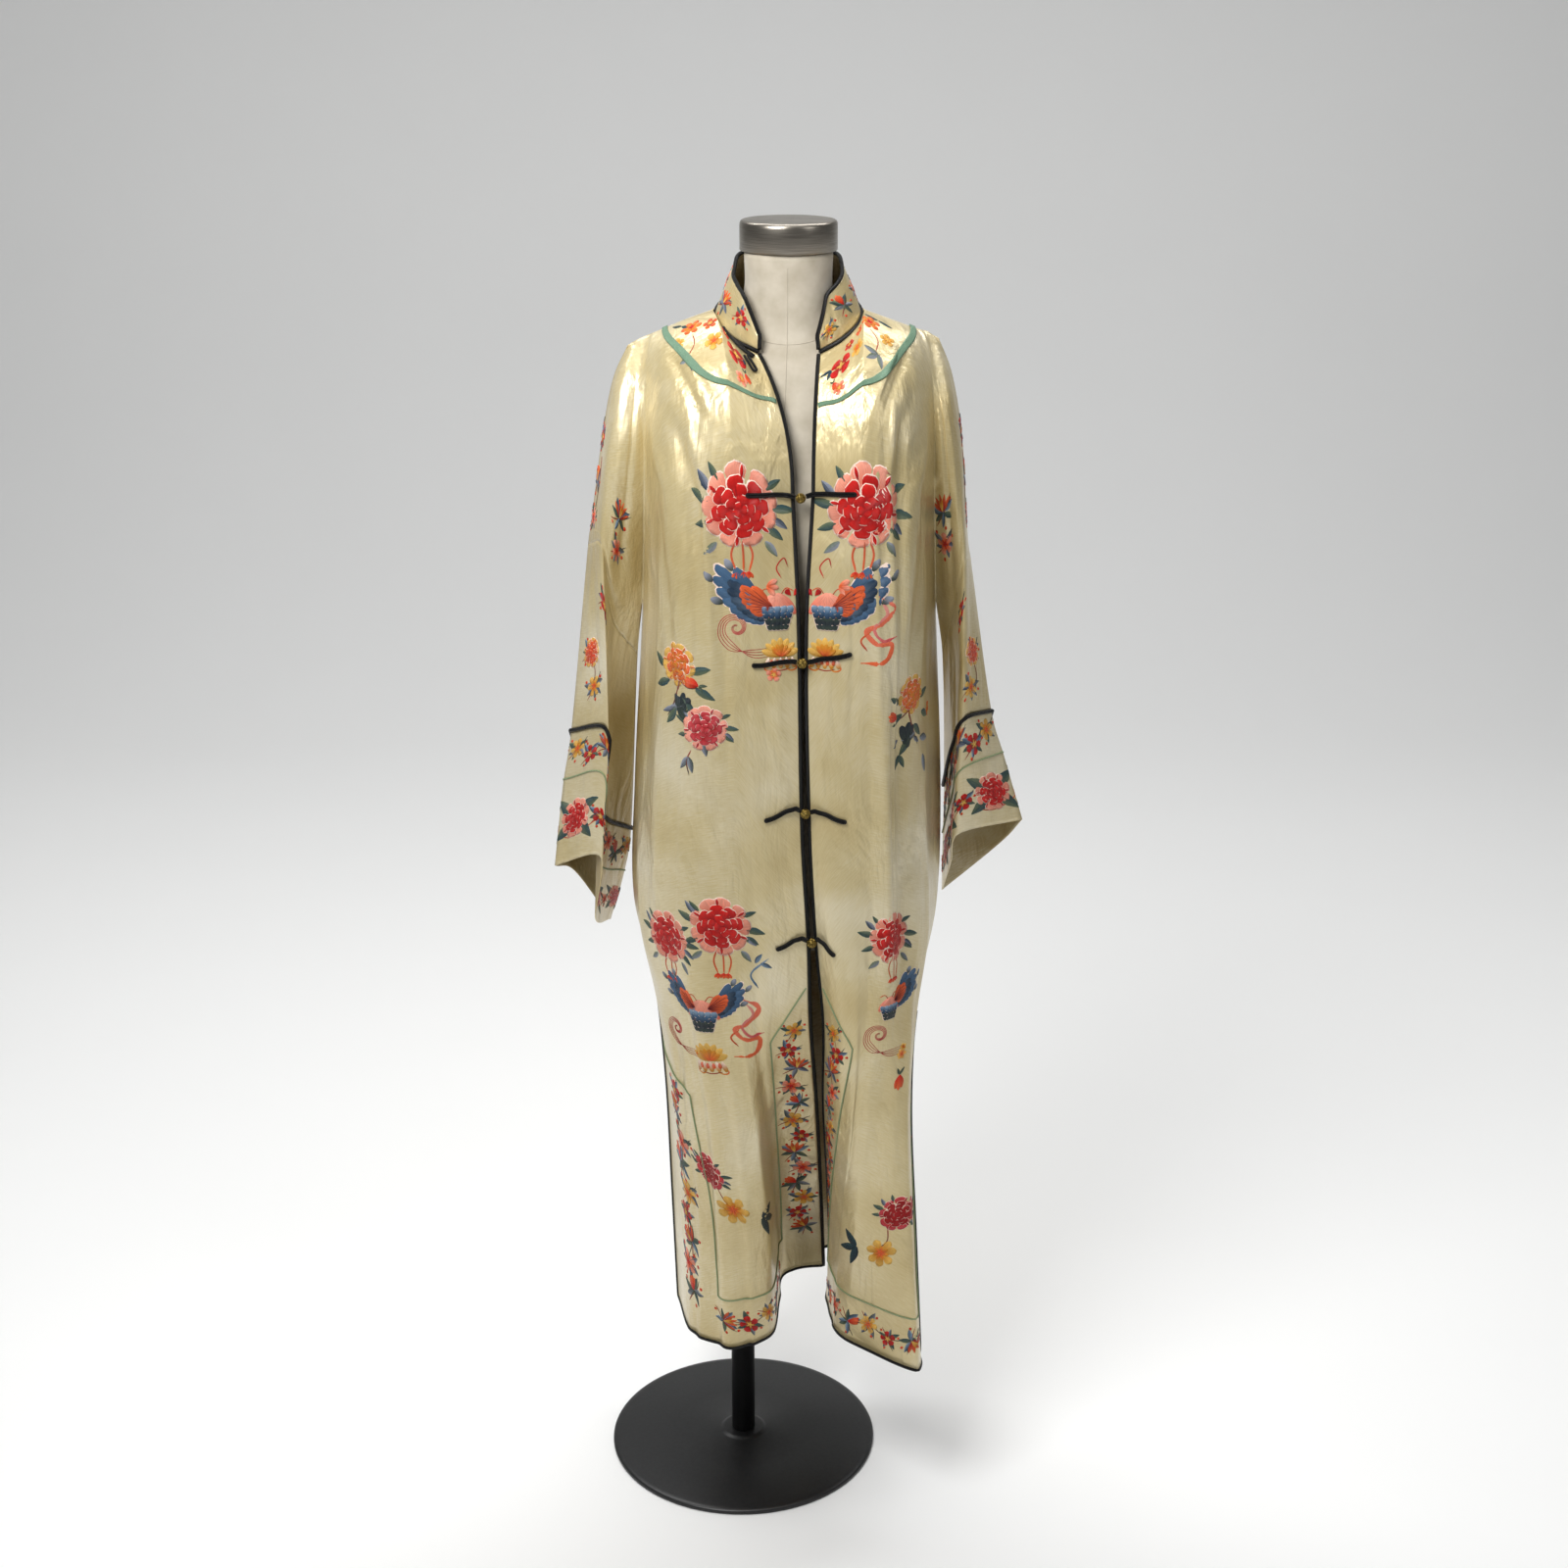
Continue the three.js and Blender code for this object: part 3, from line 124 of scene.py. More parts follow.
# folds: from (across, down) to (across, down), half-width across, and how far out or in.
# The first of each list are the solids' own folds, the rest are the finer creases.
foldsOf = {
    "left": np.array([
        (0.93, 0.75, 0.5, 1.45, 0.09, 4), (0.8, 0.9, 0.72, 2, 0.08, -6), (0.62, 1.2, 0.6, 2, 0.07, 4),
        (0.86, 0.55, 0.58, 1.12, 0.045, -3.2), (0.97, 0.62, 0.76, 1.2, 0.04, 3.0),
        (0.7, 0.35, 0.4, 0.8, 0.05, 2.0), (0.52, 0.3, 0.3, 0.66, 0.035, -1.6),
        (0.9, 1.0, 0.86, 1.42, 0.035, -3.4), (0.78, 1.12, 0.8, 1.55, 0.03, 2.2),
        (0.44, 1.2, 0.41, 1.66, 0.04, 2.0), (0.3, 1.36, 0.28, 2, 0.035, -3.2),
        (0.22, 1.5, 0.2, 2, 0.03, 2.6), (0.55, 1.55, 0.52, 2, 0.03, -2.6),
        (0.68, 1.45, 0.68, 2, 0.028, -2.4), (0.88, 1.3, 0.9, 1.75, 0.03, 2.4),
        (0.12, 1.02, 0.14, 1.3, 0.04, 1.3), (0.34, 0.95, 0.3, 1.22, 0.04, -1.5),
        (0.82, 0.3, 0.56, 0.72, 0.03, -3.4), (0.74, 0.28, 0.5, 0.6, 0.022, 2.4),
        (0.94, 0.82, 0.7, 1.3, 0.03, -3.2), (0.6, 0.9, 0.48, 1.34, 0.03, 1.8),
        (0.5, 1.0, 0.42, 1.38, 0.025, -1.8), (0.8, 1.5, 0.82, 2, 0.02, -3.0),
        (0.4, 1.5, 0.36, 2, 0.02, 2.4), (0.5, 1.6, 0.49, 2, 0.018, 2.6),
        (0.95, 1.16, 0.84, 1.6, 0.025, 2.8), (0.2, 0.3, 0.24, 0.6, 0.05, 1.6),
        (0.3, 0.5, 0.28, 0.86, 0.03, -1.6), (0.66, 1.02, 0.7, 1.5, 0.02, -2.2),
        (0.7, 0.6, 0.5, 1.26, 0.03, 3.4), (0.77, 0.62, 0.59, 1.26, 0.025, -2.8),
    ]),
    "right": np.array([
        (0.92, 0.8, 0.6, 1.3, 0.08, 5), (0.5, 1.1, 0.54, 1.62, 0.07, 5), (0.7, 1.05, 0.7, 1.65, 0.08, -9),
        (0.6, 1.55, 0.55, 2, 0.08, -4), (0.84, 0.5, 0.6, 1.05, 0.045, -3.0),
        (0.96, 0.66, 0.8, 1.15, 0.035, 3.0), (0.66, 0.3, 0.42, 0.78, 0.05, 2.2),
        (0.9, 1.0, 0.84, 1.5, 0.035, 2.6), (0.6, 1.0, 0.62, 1.5, 0.03, -2.4),
        (0.4, 1.2, 0.42, 1.7, 0.04, -2.0), (0.3, 1.4, 0.33, 2, 0.035, 2.8),
        (0.8, 1.45, 0.78, 2, 0.035, 3.0), (0.46, 1.62, 0.44, 2, 0.03, 2.4),
        (0.16, 1.04, 0.15, 1.36, 0.04, 1.4), (0.24, 1.6, 0.2, 2, 0.03, -2.4),
        (0.92, 1.5, 0.93, 2, 0.03, -2.6), (0.8, 0.3, 0.58, 0.7, 0.03, -3.2),
        (0.72, 0.26, 0.5, 0.62, 0.022, 2.6), (0.95, 0.8, 0.74, 1.32, 0.03, -3.0),
        (0.55, 0.85, 0.46, 1.3, 0.03, 1.8), (0.34, 1.0, 0.3, 1.34, 0.025, -1.6),
        (0.88, 1.2, 0.86, 1.7, 0.02, 2.6), (0.66, 1.1, 0.62, 1.55, 0.02, 2.0),
        (0.2, 0.36, 0.24, 0.66, 0.05, 1.6), (0.36, 1.55, 0.35, 2, 0.018, -2.4),
        (0.66, 0.5, 0.6, 1.3, 0.03, 4.2), (0.74, 0.55, 0.67, 1.3, 0.025, -3.2),
    ]),
    "back": np.array([
        (0.1, 1.1, 0.1, 2, 0.05, 8), (0.22, 1.2, 0.22, 2, 0.055, -11), (0.35, 1.0, 0.34, 2, 0.055, 12),
        (0.5, 0.9, 0.49, 2, 0.06, -11), (0.64, 1.05, 0.65, 2, 0.055, 11),
        (0.77, 1.2, 0.78, 2, 0.055, -11), (0.89, 1.1, 0.9, 2, 0.05, 7), (0.1, 0.5, 0.3, 1.05, 0.035, 2.6),
        (0.92, 0.55, 0.7, 1.1, 0.035, 2.4), (0.2, 0.4, 0.36, 0.8, 0.03, -2.0),
        (0.82, 0.4, 0.66, 0.85, 0.03, -2.0), (0.42, 1.3, 0.43, 1.8, 0.02, 2.6),
        (0.58, 1.25, 0.57, 1.9, 0.02, 2.4), (0.16, 1.4, 0.17, 2, 0.02, 2.4),
        (0.29, 1.6, 0.28, 2, 0.02, -2.2), (0.71, 1.5, 0.71, 2, 0.02, 2.6),
        (0.84, 1.6, 0.83, 2, 0.02, -2.4), (0.03, 1.0, 0.08, 1.45, 0.02, -2.0),
        (0.97, 1.0, 0.93, 1.5, 0.02, -2.0),
    ]),
}


# curves
def smooth(t):
    # eases from 0 to 1
    t = np.clip(t, 0, 1)
    return t * t * (3 - 2 * t)


def readTable(rows, places, name):
    # a cubic through the column's values, with the slope at each row taken from its two neighbours
    keys, values = rows["key"], rows[name]
    n = len(keys)
    after, before = np.minimum(np.arange(n) + 1, n - 1), np.maximum(np.arange(n) - 1, 0)
    slopes = (values[after] - values[before]) / (keys[after] - keys[before])[:, None]
    step = np.sign(keys[1] - keys[0])
    i = np.clip(np.searchsorted(step * keys, step * places, side="right") - 1, 0, n - 2)
    span = keys[i + 1] - keys[i]
    t = np.clip((places - keys[i]) / span, 0, 1)[:, None]
    span = span[:, None]
    return ((2 * t**3 - 3 * t**2 + 1) * values[i] + (t**3 - 2 * t**2 + t) * span * slopes[i]
            + (3 * t**2 - 2 * t**3) * values[i + 1] + (t**3 - t**2) * span * slopes[i + 1])


def alongStations(stations, shares):
    # centripetal Catmull-Rom: each span's knots are the square root of the distance between its points
    padded = np.concatenate([2 * stations[:, :1] - stations[:, 1:2], stations,
                             2 * stations[:, -1:] - stations[:, -2:-1]], axis=1)
    place = np.asarray(shares) * (stations.shape[1] - 1)
    i = np.clip(np.floor(place).astype(int), 0, stations.shape[1] - 2)
    w = (place - i)[None, :, None]
    a, b, c, d = padded[:, i], padded[:, i + 1], padded[:, i + 2], padded[:, i + 3]
    knot = lambda p, q: np.maximum(np.sqrt(np.linalg.norm(q - p, axis=2, keepdims=True)), 1e-4)
    ab, bc, cd = knot(a, b), knot(b, c), knot(c, d)
    first = ((b - a) / ab - (c - a) / (ab + bc) + (c - b) / bc) * bc
    second = ((c - b) / bc - (d - b) / (bc + cd) + (d - c) / cd) * bc
    return (b + first * w + (-3 * b + 3 * c - 2 * first - second) * w**2
            + (2 * b - 2 * c + first + second) * w**3)


def runOf(path):
    # the distance along a path at each of its points
    return np.concatenate([[0], np.cumsum(np.linalg.norm(np.diff(path, axis=0), axis=1))])


def runsOf(grid, axis):
    # the same for a grid: along its rows with axis 1, down its columns with axis 0
    steps = np.cumsum(np.linalg.norm(np.diff(grid, axis=axis), axis=2), axis=axis)
    return np.insert(steps, 0, 0, axis=axis)


def atLength(points, shares):
    # a curve through points, read at equal parts of its length
    fine = np.linspace(0, 1, 401)
    curve = alongStations(np.array([points], float), fine)[0]
    run = runOf(curve)
    return alongStations(np.array([points], float), np.interp(np.asarray(shares) * run[-1], run, fine))[0]


neckFront = {"left": (-33, -70, 1424), "right": (34, -70, 1424)}
armholeTop = {"left": (149, -3, 1438), "right": (146, -3, 1441)}


def frontNeckline(side, shares):
    # a front's neckline, from the front edge round to the shoulder
    s = signOf[side]
    return atLength([neckFront[side], (s * 56, -56, 1434), (s * 76, -30, 1449), (s * 84, 0, 1462)], shares)


def shoulderLine(side, shares):
    # the shoulder, from the neck out to the top of the armhole
    s, tip = signOf[side], armholeTop[side]
    return atLength([(s * 84, 0, 1462), (s * 116, -2, 1451), (s * tip[0], tip[1], tip[2])], shares)


def frontTop(side, across):
    # a front's top edge: the neckline, then the shoulder
    neck = frontNeckline(side, np.clip(across / neckPart, 0, 1))
    shoulder = shoulderLine(side, np.clip((across - neckPart) / (1 - neckPart), 0, 1))
    return np.where((across < neckPart)[:, None], neck, shoulder)


def backTop(across):
    # the back's top edge: the left shoulder, the neckline, then the right shoulder
    left = shoulderLine("left", np.clip(1 - across / backShoulderPart, 0, 1))
    right = shoulderLine("right", np.clip(1 - (1 - across) / backShoulderPart, 0, 1))
    neck = atLength([(-84, 0, 1462), (-66, 46, 1469), (0, 70, 1472), (66, 46, 1469), (84, 0, 1462)],
                    np.clip((across - backShoulderPart) / (1 - 2 * backShoulderPart), 0, 1))
    return np.where((across < backShoulderPart)[:, None], left,
                    np.where((across > 1 - backShoulderPart)[:, None], right, neck))


# body sheets: (down, across) to points of the cloth's outer face
def zAt(downs):
    # height of a place down the cloth, where 1 is the chest and 2 the hem
    return chestZ + (hemZ - chestZ) * (downs - 1)


def downOfZ(z):
    # the other way round, from a height to its place down the cloth
    return 1 + (chestZ - z) / (chestZ - hemZ)


def addFolds(points, folds, downs, across, share):
    # out from the axis by height * rise along the fold * exp(-(distance across / half-width) squared)
    out = points * (1, 1, 0)
    out = out / np.maximum(np.linalg.norm(out, axis=2, keepdims=True), 1e-6)
    for a0, d0, a1, d1, half, height in folds:
        t = (downs - d0) / (d1 - d0)
        end = np.ones_like(t) if d1 >= 2 else smooth((1 - t) / 0.3)
        strength = np.where((t > 0) & (t <= 1.001), smooth(t / 0.35) * end, 0)
        away = (across[None, :] - (a0 + (a1 - a0) * t)[:, None]) / half
        points = points + out * (height * share[None, :] * strength[:, None] * np.exp(-away**2))[..., None]
    return points


def fallFrom(top, chest, reach, drop, downs):
    # a cubic from the top edge that leaves forwards and reaches the chest upright
    lead = (chest - top) * (1, 1, 0)
    first = top + lead * reach[:, None] - np.stack([0 * drop, 0 * drop, drop], axis=1)
    second = chest + (0, 0, 1) * ((top - chest)[:, 2:] * 0.52)
    t = downs[:, None, None]
    return ((1 - t)**3 * top + 3 * (1 - t)**2 * t * first + 3 * (1 - t) * t**2 * second + t**3 * chest)


def sections(rows, columns, zs, across, reader=readTable):
    # level sections of a sheet at the heights zs, each a curve through the table's columns
    stations = np.stack([np.concatenate([reader(rows, zs, name), zs[:, None]], axis=1) for name in columns],
                        axis=1)
    return alongStations(stations, across)


def frontSheet(side, downs, across):
    # across runs from the front edge to the armhole and side seam, down from the top edge to the hem
    downs, across = np.asarray(downs, float), np.asarray(across, float)
    chest = sections(frontRows[side], frontColumns, np.array([chestZ]), across)[0]
    steep = np.clip(across / neckPart, 0, 1)
    upper = fallFrom(frontTop(side, across), chest, 0.4 + 0.3 * steep, 22 * (1 - steep), np.clip(downs, 0, 1))
    lower = sections(frontRows[side], frontColumns, zAt(np.maximum(downs, 1)), across)
    hang = np.clip((downs - 1.6) / 0.4, 0, 1)**3
    lower[..., 2] += edgeRise * hang[:, None] * (1 - smooth(across / 0.42))[None, :]
    points = np.where((downs < 1)[:, None, None], upper, lower)
    return addFolds(points, foldsOf[side], downs, across, 1 - smooth((across - 0.9) / 0.1))


def backReader(rows, zs, name):
    # from the underarm to the slits the back's ends are the fronts' side seams
    values = readTable(rows, zs, name)
    if name in signOf:
        sewn = (zs <= underarmZ + 1e-6) & (zs >= slitTopZ - 1e-6)
        values = np.where(sewn[:, None], readTable(frontRows[name], zs, "side"), values)
    return values


def backSheet(downs, across):
    # the same for the back, across from its left side to its right
    downs, across = np.asarray(downs, float), np.asarray(across, float)
    chest = sections(backRows, backColumns, np.array([chestZ]), across, backReader)[0]
    full = np.ones_like(across)
    upper = fallFrom(backTop(across), chest, 0.62 * full, 4 * full, np.clip(downs, 0, 1))
    lower = sections(backRows, backColumns, zAt(np.maximum(downs, 1)), across, backReader)
    points = np.where((downs < 1)[:, None, None], upper, lower)
    return addFolds(points, foldsOf["back"], downs, across, smooth(np.minimum(across, 1 - across) / 0.1))


# rows of the grids from the top edge at 0, where a sheet changes
gridRow = {"chest": 6, "underarm": 9, "extension": 11, "slit": 16, "cuff": 17, "sleeveEnd": 23, "hem": 24}


def downOfRow(rows):
    # a grid row as a place down the cloth
    rows = np.asarray(rows, float)
    z = np.interp(rows, [gridRow[name] for name in ("chest", "underarm", "slit", "hem")],
                  [chestZ, underarmZ, slitTopZ, hemZ])
    return np.where(rows <= gridRow["chest"], rows / gridRow["chest"], downOfZ(z))


def innerPoints(side, rows, behind):
    # where the sleeve joins the body, and below the underarm its own seam
    under = frontSheet(side, downOfRow([gridRow["underarm"]]), [1])[0, 0]
    below = table(["inner"], [(gridRow["underarm"], abs(under[0]), under[1], under[2])] + underarms[side])
    seam = readTable(below, rows, "inner") * (signOf[side], 1, 1)
    downs = downOfRow(rows)
    body = backSheet(downs, [0 if side == "left" else 1]) if behind else frontSheet(side, downs, [1])
    return np.where((rows >= gridRow["underarm"])[:, None], seam, body[:, 0])


# soft creases of the sleeves: row from, row to, place round the loop, drift, half-width, height
sleeveCreases = np.array([
    (2, 10, 0.30, 0.10, 0.05, -3.0), (4, 13, 0.55, -0.08, 0.05, 2.6), (8, 16.5, 0.22, 0.06, 0.04, 2.4),
    (10, 17, 0.84, -0.05, 0.05, -2.6), (12, 22, 0.42, 0.05, 0.05, -1.8), (1, 7, 0.8, 0.05, 0.06, 2.0),
    (17, 23, 0.75, 0.04, 0.06, 1.6),
])


def sleeveSheet(side, rows, shares, behind):
    # the sleeve's front or back face, from the body or its inner seam out to its outer edge
    rows, shares = np.asarray(rows, float), np.asarray(shares, float)
    names = ["back", "outer"] if behind else ["valley", "fold", "outer"]
    at = [readTable(sleeveRows[side], rows, name) * (signOf[side], 1, 1) for name in names]
    points = alongStations(np.stack([innerPoints(side, rows, behind)] + at, axis=1), shares)
    middle = points.mean(axis=1, keepdims=True)
    out = (points - middle) * (1, 1, 0.3)
    out /= np.maximum(np.linalg.norm(out, axis=2, keepdims=True), 1e-6)
    edge = smooth(shares / 0.12) * smooth((1 - shares) / 0.12)
    for r0, r1, place, drift, half, height in sleeveCreases * ((1, 1, 1, 1, 1, -0.8) if behind else 1):
        t = (rows - r0) / (r1 - r0)
        strength = np.where((t > 0) & (t < 1), smooth(t / 0.35) * smooth((1 - t) / 0.35), 0)
        away = (shares[None, :] - place - drift * t[:, None]) / half
        points = points + out * (height * edge[None, :] * strength[:, None] * np.exp(-away**2))[..., None]
    return points


print("surfaces defined")


# meshes
def meshOf(name, points, faces, uvs=None, colours=None):
    # points (n, 3) in millimetres from the neck's axis, faces (m, 4) with a repeated corner for a triangle
    mesh = bpy.data.meshes.new(name)
    points = (np.asarray(points, float).reshape(-1, 3) + (formX, 0, 0)) * mm
    faces = np.asarray(faces, int).reshape(-1, 4)
    single = faces[:, 2] == faces[:, 3]
    sizes = np.where(single, 3, 4)
    keep = np.ones(faces.shape, bool)
    keep[single, 3] = False
    loops = faces[keep]
    mesh.vertices.add(len(points))
    mesh.vertices.foreach_set("co", points.ravel())
    mesh.loops.add(len(loops))
    mesh.loops.foreach_set("vertex_index", loops)
    mesh.polygons.add(len(faces))
    mesh.polygons.foreach_set("loop_start", np.concatenate([[0], np.cumsum(sizes)[:-1]]))
    mesh.polygons.foreach_set("loop_total", sizes)
    mesh.polygons.foreach_set("use_smooth", np.ones(len(faces), bool))
    if uvs is not None:
        layer = mesh.uv_layers.new(name="thread")
        layer.data.foreach_set("uv", np.asarray(uvs, float)[loops].ravel())
    if colours is not None:
        layer = mesh.color_attributes.new("threadColour", "FLOAT_COLOR", "POINT")
        rgba = np.concatenate([colours, np.ones((len(colours), 1))], axis=1)
        layer.data.foreach_set("color", rgba.ravel())
    mesh.update()
    mesh.validate()
    obj = bpy.data.objects.new(name, mesh)
    bpy.context.collection.objects.link(obj)
    return obj


def gridFaces(rows, columns, start=0, flipped=False, closedRows=False, closedColumns=False):
    # the quads of a grid of points, closed into a ring either way if asked
    r = np.arange(rows if closedRows else rows - 1)[:, None]
    c = np.arange(columns if closedColumns else columns - 1)[None, :]
    at = lambda i, j: start + (i % rows) * columns + (j % columns)
    quads = np.stack([at(r, c), at(r + 0 * c, c + 1), at(r + 1, c + 1), at(r + 1, c)], axis=2).reshape(-1, 4)
    return quads[:, ::-1] if flipped else quads


def tubeFaces(rows, around, flipped=False):
    # rings one above another, whose two ends close on the two points that come after them
    i = np.arange(around)
    a, b = ((i + 1) % around, i) if flipped else (i, (i + 1) % around)
    n, last = rows * around, (rows - 1) * around
    return np.concatenate([gridFaces(rows, around, flipped=flipped, closedColumns=True),
                           np.stack([0 * i + n, b, a, a], axis=1),
                           np.stack([0 * i + n + 1, last + a, last + b, last + b], axis=1)])


def welded(grids):
    # several (points, uvs, flipped) grids as one surface: equal points become one vertex
    points, uvs, faces, start = [], [], [], 0
    for grid, uv, flipped in grids:
        rows, columns = grid.shape[:2]
        points.append(grid.reshape(-1, 3))
        uvs.append(uv.reshape(-1, 2))
        faces.append(gridFaces(rows, columns, start, flipped))
        start += rows * columns
    points, uvs, faces = np.concatenate(points), np.concatenate(uvs), np.concatenate(faces)
    _, first, index = np.unique(np.round(points * 50).astype(int), axis=0, return_index=True,
                                return_inverse=True)
    faces = index.ravel()[faces]
    # a quad that has shrunk to a triangle keeps its three corners, and one that has shrunk further goes
    equal = faces == np.roll(faces, -1, axis=1)
    for k in range(4):
        one = equal[:, k] & (equal.sum(axis=1) == 1)
        faces[one] = np.roll(faces[one], 2 - k, axis=1)
    keep = (equal.sum(axis=1) < 2) & (faces[:, 0] != faces[:, 2]) & (faces[:, 1] != faces[:, 3])
    return points[first], uvs[first], faces[keep]


def own(obj, material, slot, *nodes):
    # gives a piece its material and body, and hides the CAD nodes that it replaces; the slot is not used
    obj.data.materials.append(material)
    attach(obj, "root")
    if nodes:
        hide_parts(*nodes)
    return obj


# materials
def linear(hexColour):
    # a hex colour as linear light
    values = [int(hexColour[i:i + 2], 16) / 255 for i in (1, 3, 5)]
    return [v / 12.92 if v <= 0.04045 else ((v + 0.055) / 1.055)**2.4 for v in values]


def addNode(tree, kind, settings=None, links=None, **values):
    # one node with its settings, its sockets' values and its links from other nodes' sockets
    node = tree.nodes.new(kind)
    for key, value in (settings or {}).items():
        setattr(node, key, value)
    for key, value in values.items():
        node.inputs[key.replace("_", " ")].default_value = value
    for key, source in (links or {}).items():
        tree.links.new(source, node.inputs[key])
    return node


def newMaterial(name):
    # an empty material with one shader linked to its output
    material = bpy.data.materials.new(name)
    material.use_nodes = True
    tree = material.node_tree
    tree.nodes.clear()
    shader = tree.nodes.new("ShaderNodeBsdfPrincipled")
    out = tree.nodes.new("ShaderNodeOutputMaterial")
    tree.links.new(shader.outputs["BSDF"], out.inputs["Surface"])
    return material, tree, shader


def ramp(tree, source, stops):
    # a value turned into a colour through the stops
    node = addNode(tree, "ShaderNodeValToRGB", links={"Fac": source})
    elements = node.color_ramp.elements
    while len(elements) < len(stops):
        elements.new(0.5)
    for element, (place, colour) in zip(elements, stops):
        element.position = place
        element.color = (*linear(colour), 1)
    return node.outputs["Color"]


silkLook = {"shade": "#BAA46E", "middle": "#CEBD8E", "light": "#E6DCC0", "lining": "#A89363",
            "roughness": 0.34, "metallic": 0.34, "coat": 0.3, "coatRoughness": 0.3,
            "satinThread": 0.28, "slub": 9.0, "thickness": 1.4}


def satin(name, shade, middle, light, look, thread):
    # silk satin: long floats of warp over a fine weft, faint slubs and slow changes of tone
    material, tree, shader = newMaterial(name)
    where = addNode(tree, "ShaderNodeTexCoord").outputs["Object"]
    weave = addNode(tree, "ShaderNodeTexCoord").outputs["UV"]
    tone = addNode(tree, "ShaderNodeTexNoise", links={"Vector": where}, Scale=7.0, Detail=3.0)
    slubs = addNode(tree, "ShaderNodeMapping", links={"Vector": weave},
                    Scale=(1 / (look["slub"] * 8), 1 / look["slub"], 1))
    streak = addNode(tree, "ShaderNodeTexNoise", links={"Vector": slubs.outputs["Vector"]},
                     Scale=6.0, Detail=4.0)
    mixed = addNode(tree, "ShaderNodeMath", {"operation": "MULTIPLY_ADD"},
                    {0: streak.outputs["Fac"], 2: tone.outputs["Fac"]})
    mixed.inputs[1].default_value = 0.35
    colour = ramp(tree, mixed.outputs["Value"], [(0.42, shade), (0.66, middle), (0.95, light)])
    tree.links.new(colour, shader.inputs["Base Color"])
    shader.inputs["Metallic"].default_value = look["metallic"]
    shader.inputs["Roughness"].default_value = look["roughness"]
    shader.inputs["Specular IOR Level"].default_value = 0.75
    shader.inputs["Coat Weight"].default_value = look["coat"]
    shader.inputs["Coat Roughness"].default_value = look["coatRoughness"]
    threads = addNode(tree, "ShaderNodeTexWave", {"wave_type": "BANDS", "bands_direction": "X"},
                      {"Vector": weave}, Scale=1 / thread / 6.2832 * 3.1416, Distortion=0.6)
    tall = addNode(tree, "ShaderNodeMapping", links={"Vector": where}, Scale=(1, 1, 0.36))
    crumple = addNode(tree, "ShaderNodeTexNoise", links={"Vector": tall.outputs["Vector"]},
                      Scale=22.0, Detail=4.0, Distortion=0.6)
    coarse = addNode(tree, "ShaderNodeBump", links={"Height": crumple.outputs["Fac"]},
                     Strength=0.55, Distance=0.017)
    small = addNode(tree, "ShaderNodeTexNoise", links={"Vector": tall.outputs["Vector"]},
                    Scale=75.0, Detail=3.0)
    coarse = addNode(tree, "ShaderNodeBump", links={"Height": small.outputs["Fac"],
                                                    "Normal": coarse.outputs["Normal"]},
                     Strength=0.3, Distance=0.003)
    fine = addNode(tree, "ShaderNodeBump", links={"Height": threads.outputs["Fac"],
                                                  "Normal": coarse.outputs["Normal"]},
                   Strength=0.12, Distance=0.0001)
    tree.links.new(fine.outputs["Normal"], shader.inputs["Normal"])
    return material


champagneSatin = satin("champagneSatin", silkLook["shade"], silkLook["middle"], silkLook["light"], silkLook,
                       silkLook["satinThread"])
palePongee = satin("palePongee", "#B8AB86", silkLook["lining"], "#E2DAC0",
                   {**silkLook, "metallic": 0.1, "roughness": 0.6, "coat": 0.0}, 0.4)


def threadMaterial(name, roughness, spacing, metallic=0.1, colour=None):
    # floss laid side by side: bands one thread wide, each a little lighter or darker
    material, tree, shader = newMaterial(name)
    weave = addNode(tree, "ShaderNodeTexCoord").outputs["UV"]
    if colour is None:
        base = addNode(tree, "ShaderNodeVertexColor", {"layer_name": "threadColour"}).outputs["Color"]
    else:
        base = addNode(tree, "ShaderNodeRGB").outputs[0]
        base.default_value = (*linear(colour), 1)
    stretch = addNode(tree, "ShaderNodeMapping", links={"Vector": weave}, Scale=(0.06, 1 / spacing, 1))
    grain = addNode(tree, "ShaderNodeTexNoise", links={"Vector": stretch.outputs["Vector"]},
                    Scale=1.0, Detail=2.0)
    value = addNode(tree, "ShaderNodeMapRange", links={"Value": grain.outputs["Fac"]},
                    From_Min=0.25, From_Max=0.75, To_Min=0.72, To_Max=1.22)
    tint = addNode(tree, "ShaderNodeHueSaturation", links={"Color": base, "Value": value.outputs["Result"]})
    tree.links.new(tint.outputs["Color"], shader.inputs["Base Color"])
    shader.inputs["Roughness"].default_value = roughness
    shader.inputs["Metallic"].default_value = metallic
    shader.inputs["Specular IOR Level"].default_value = 0.3
    bands = addNode(tree, "ShaderNodeTexWave", {"wave_type": "BANDS", "bands_direction": "Y"},
                    {"Vector": weave}, Scale=0.5 / spacing, Distortion=0.8, Detail=1.0)
    bump = addNode(tree, "ShaderNodeBump", links={"Height": bands.outputs["Fac"]},
                   Strength=0.55, Distance=0.0003)
    tree.links.new(bump.outputs["Normal"], shader.inputs["Normal"])
    return material


flossSilk = threadMaterial("flossSilk", 0.38, 0.42, 0.0)
blackBias = threadMaterial("blackBiasSatin", 0.42, 0.35, 0.0, "#070708")
greenCord = threadMaterial("couchedGreenCord", 0.5, 0.5, 0.05, "#8F9F78")
sageRibbon = threadMaterial("sageRibbonWeave", 0.45, 0.45, 0.08, "#6C8B72")


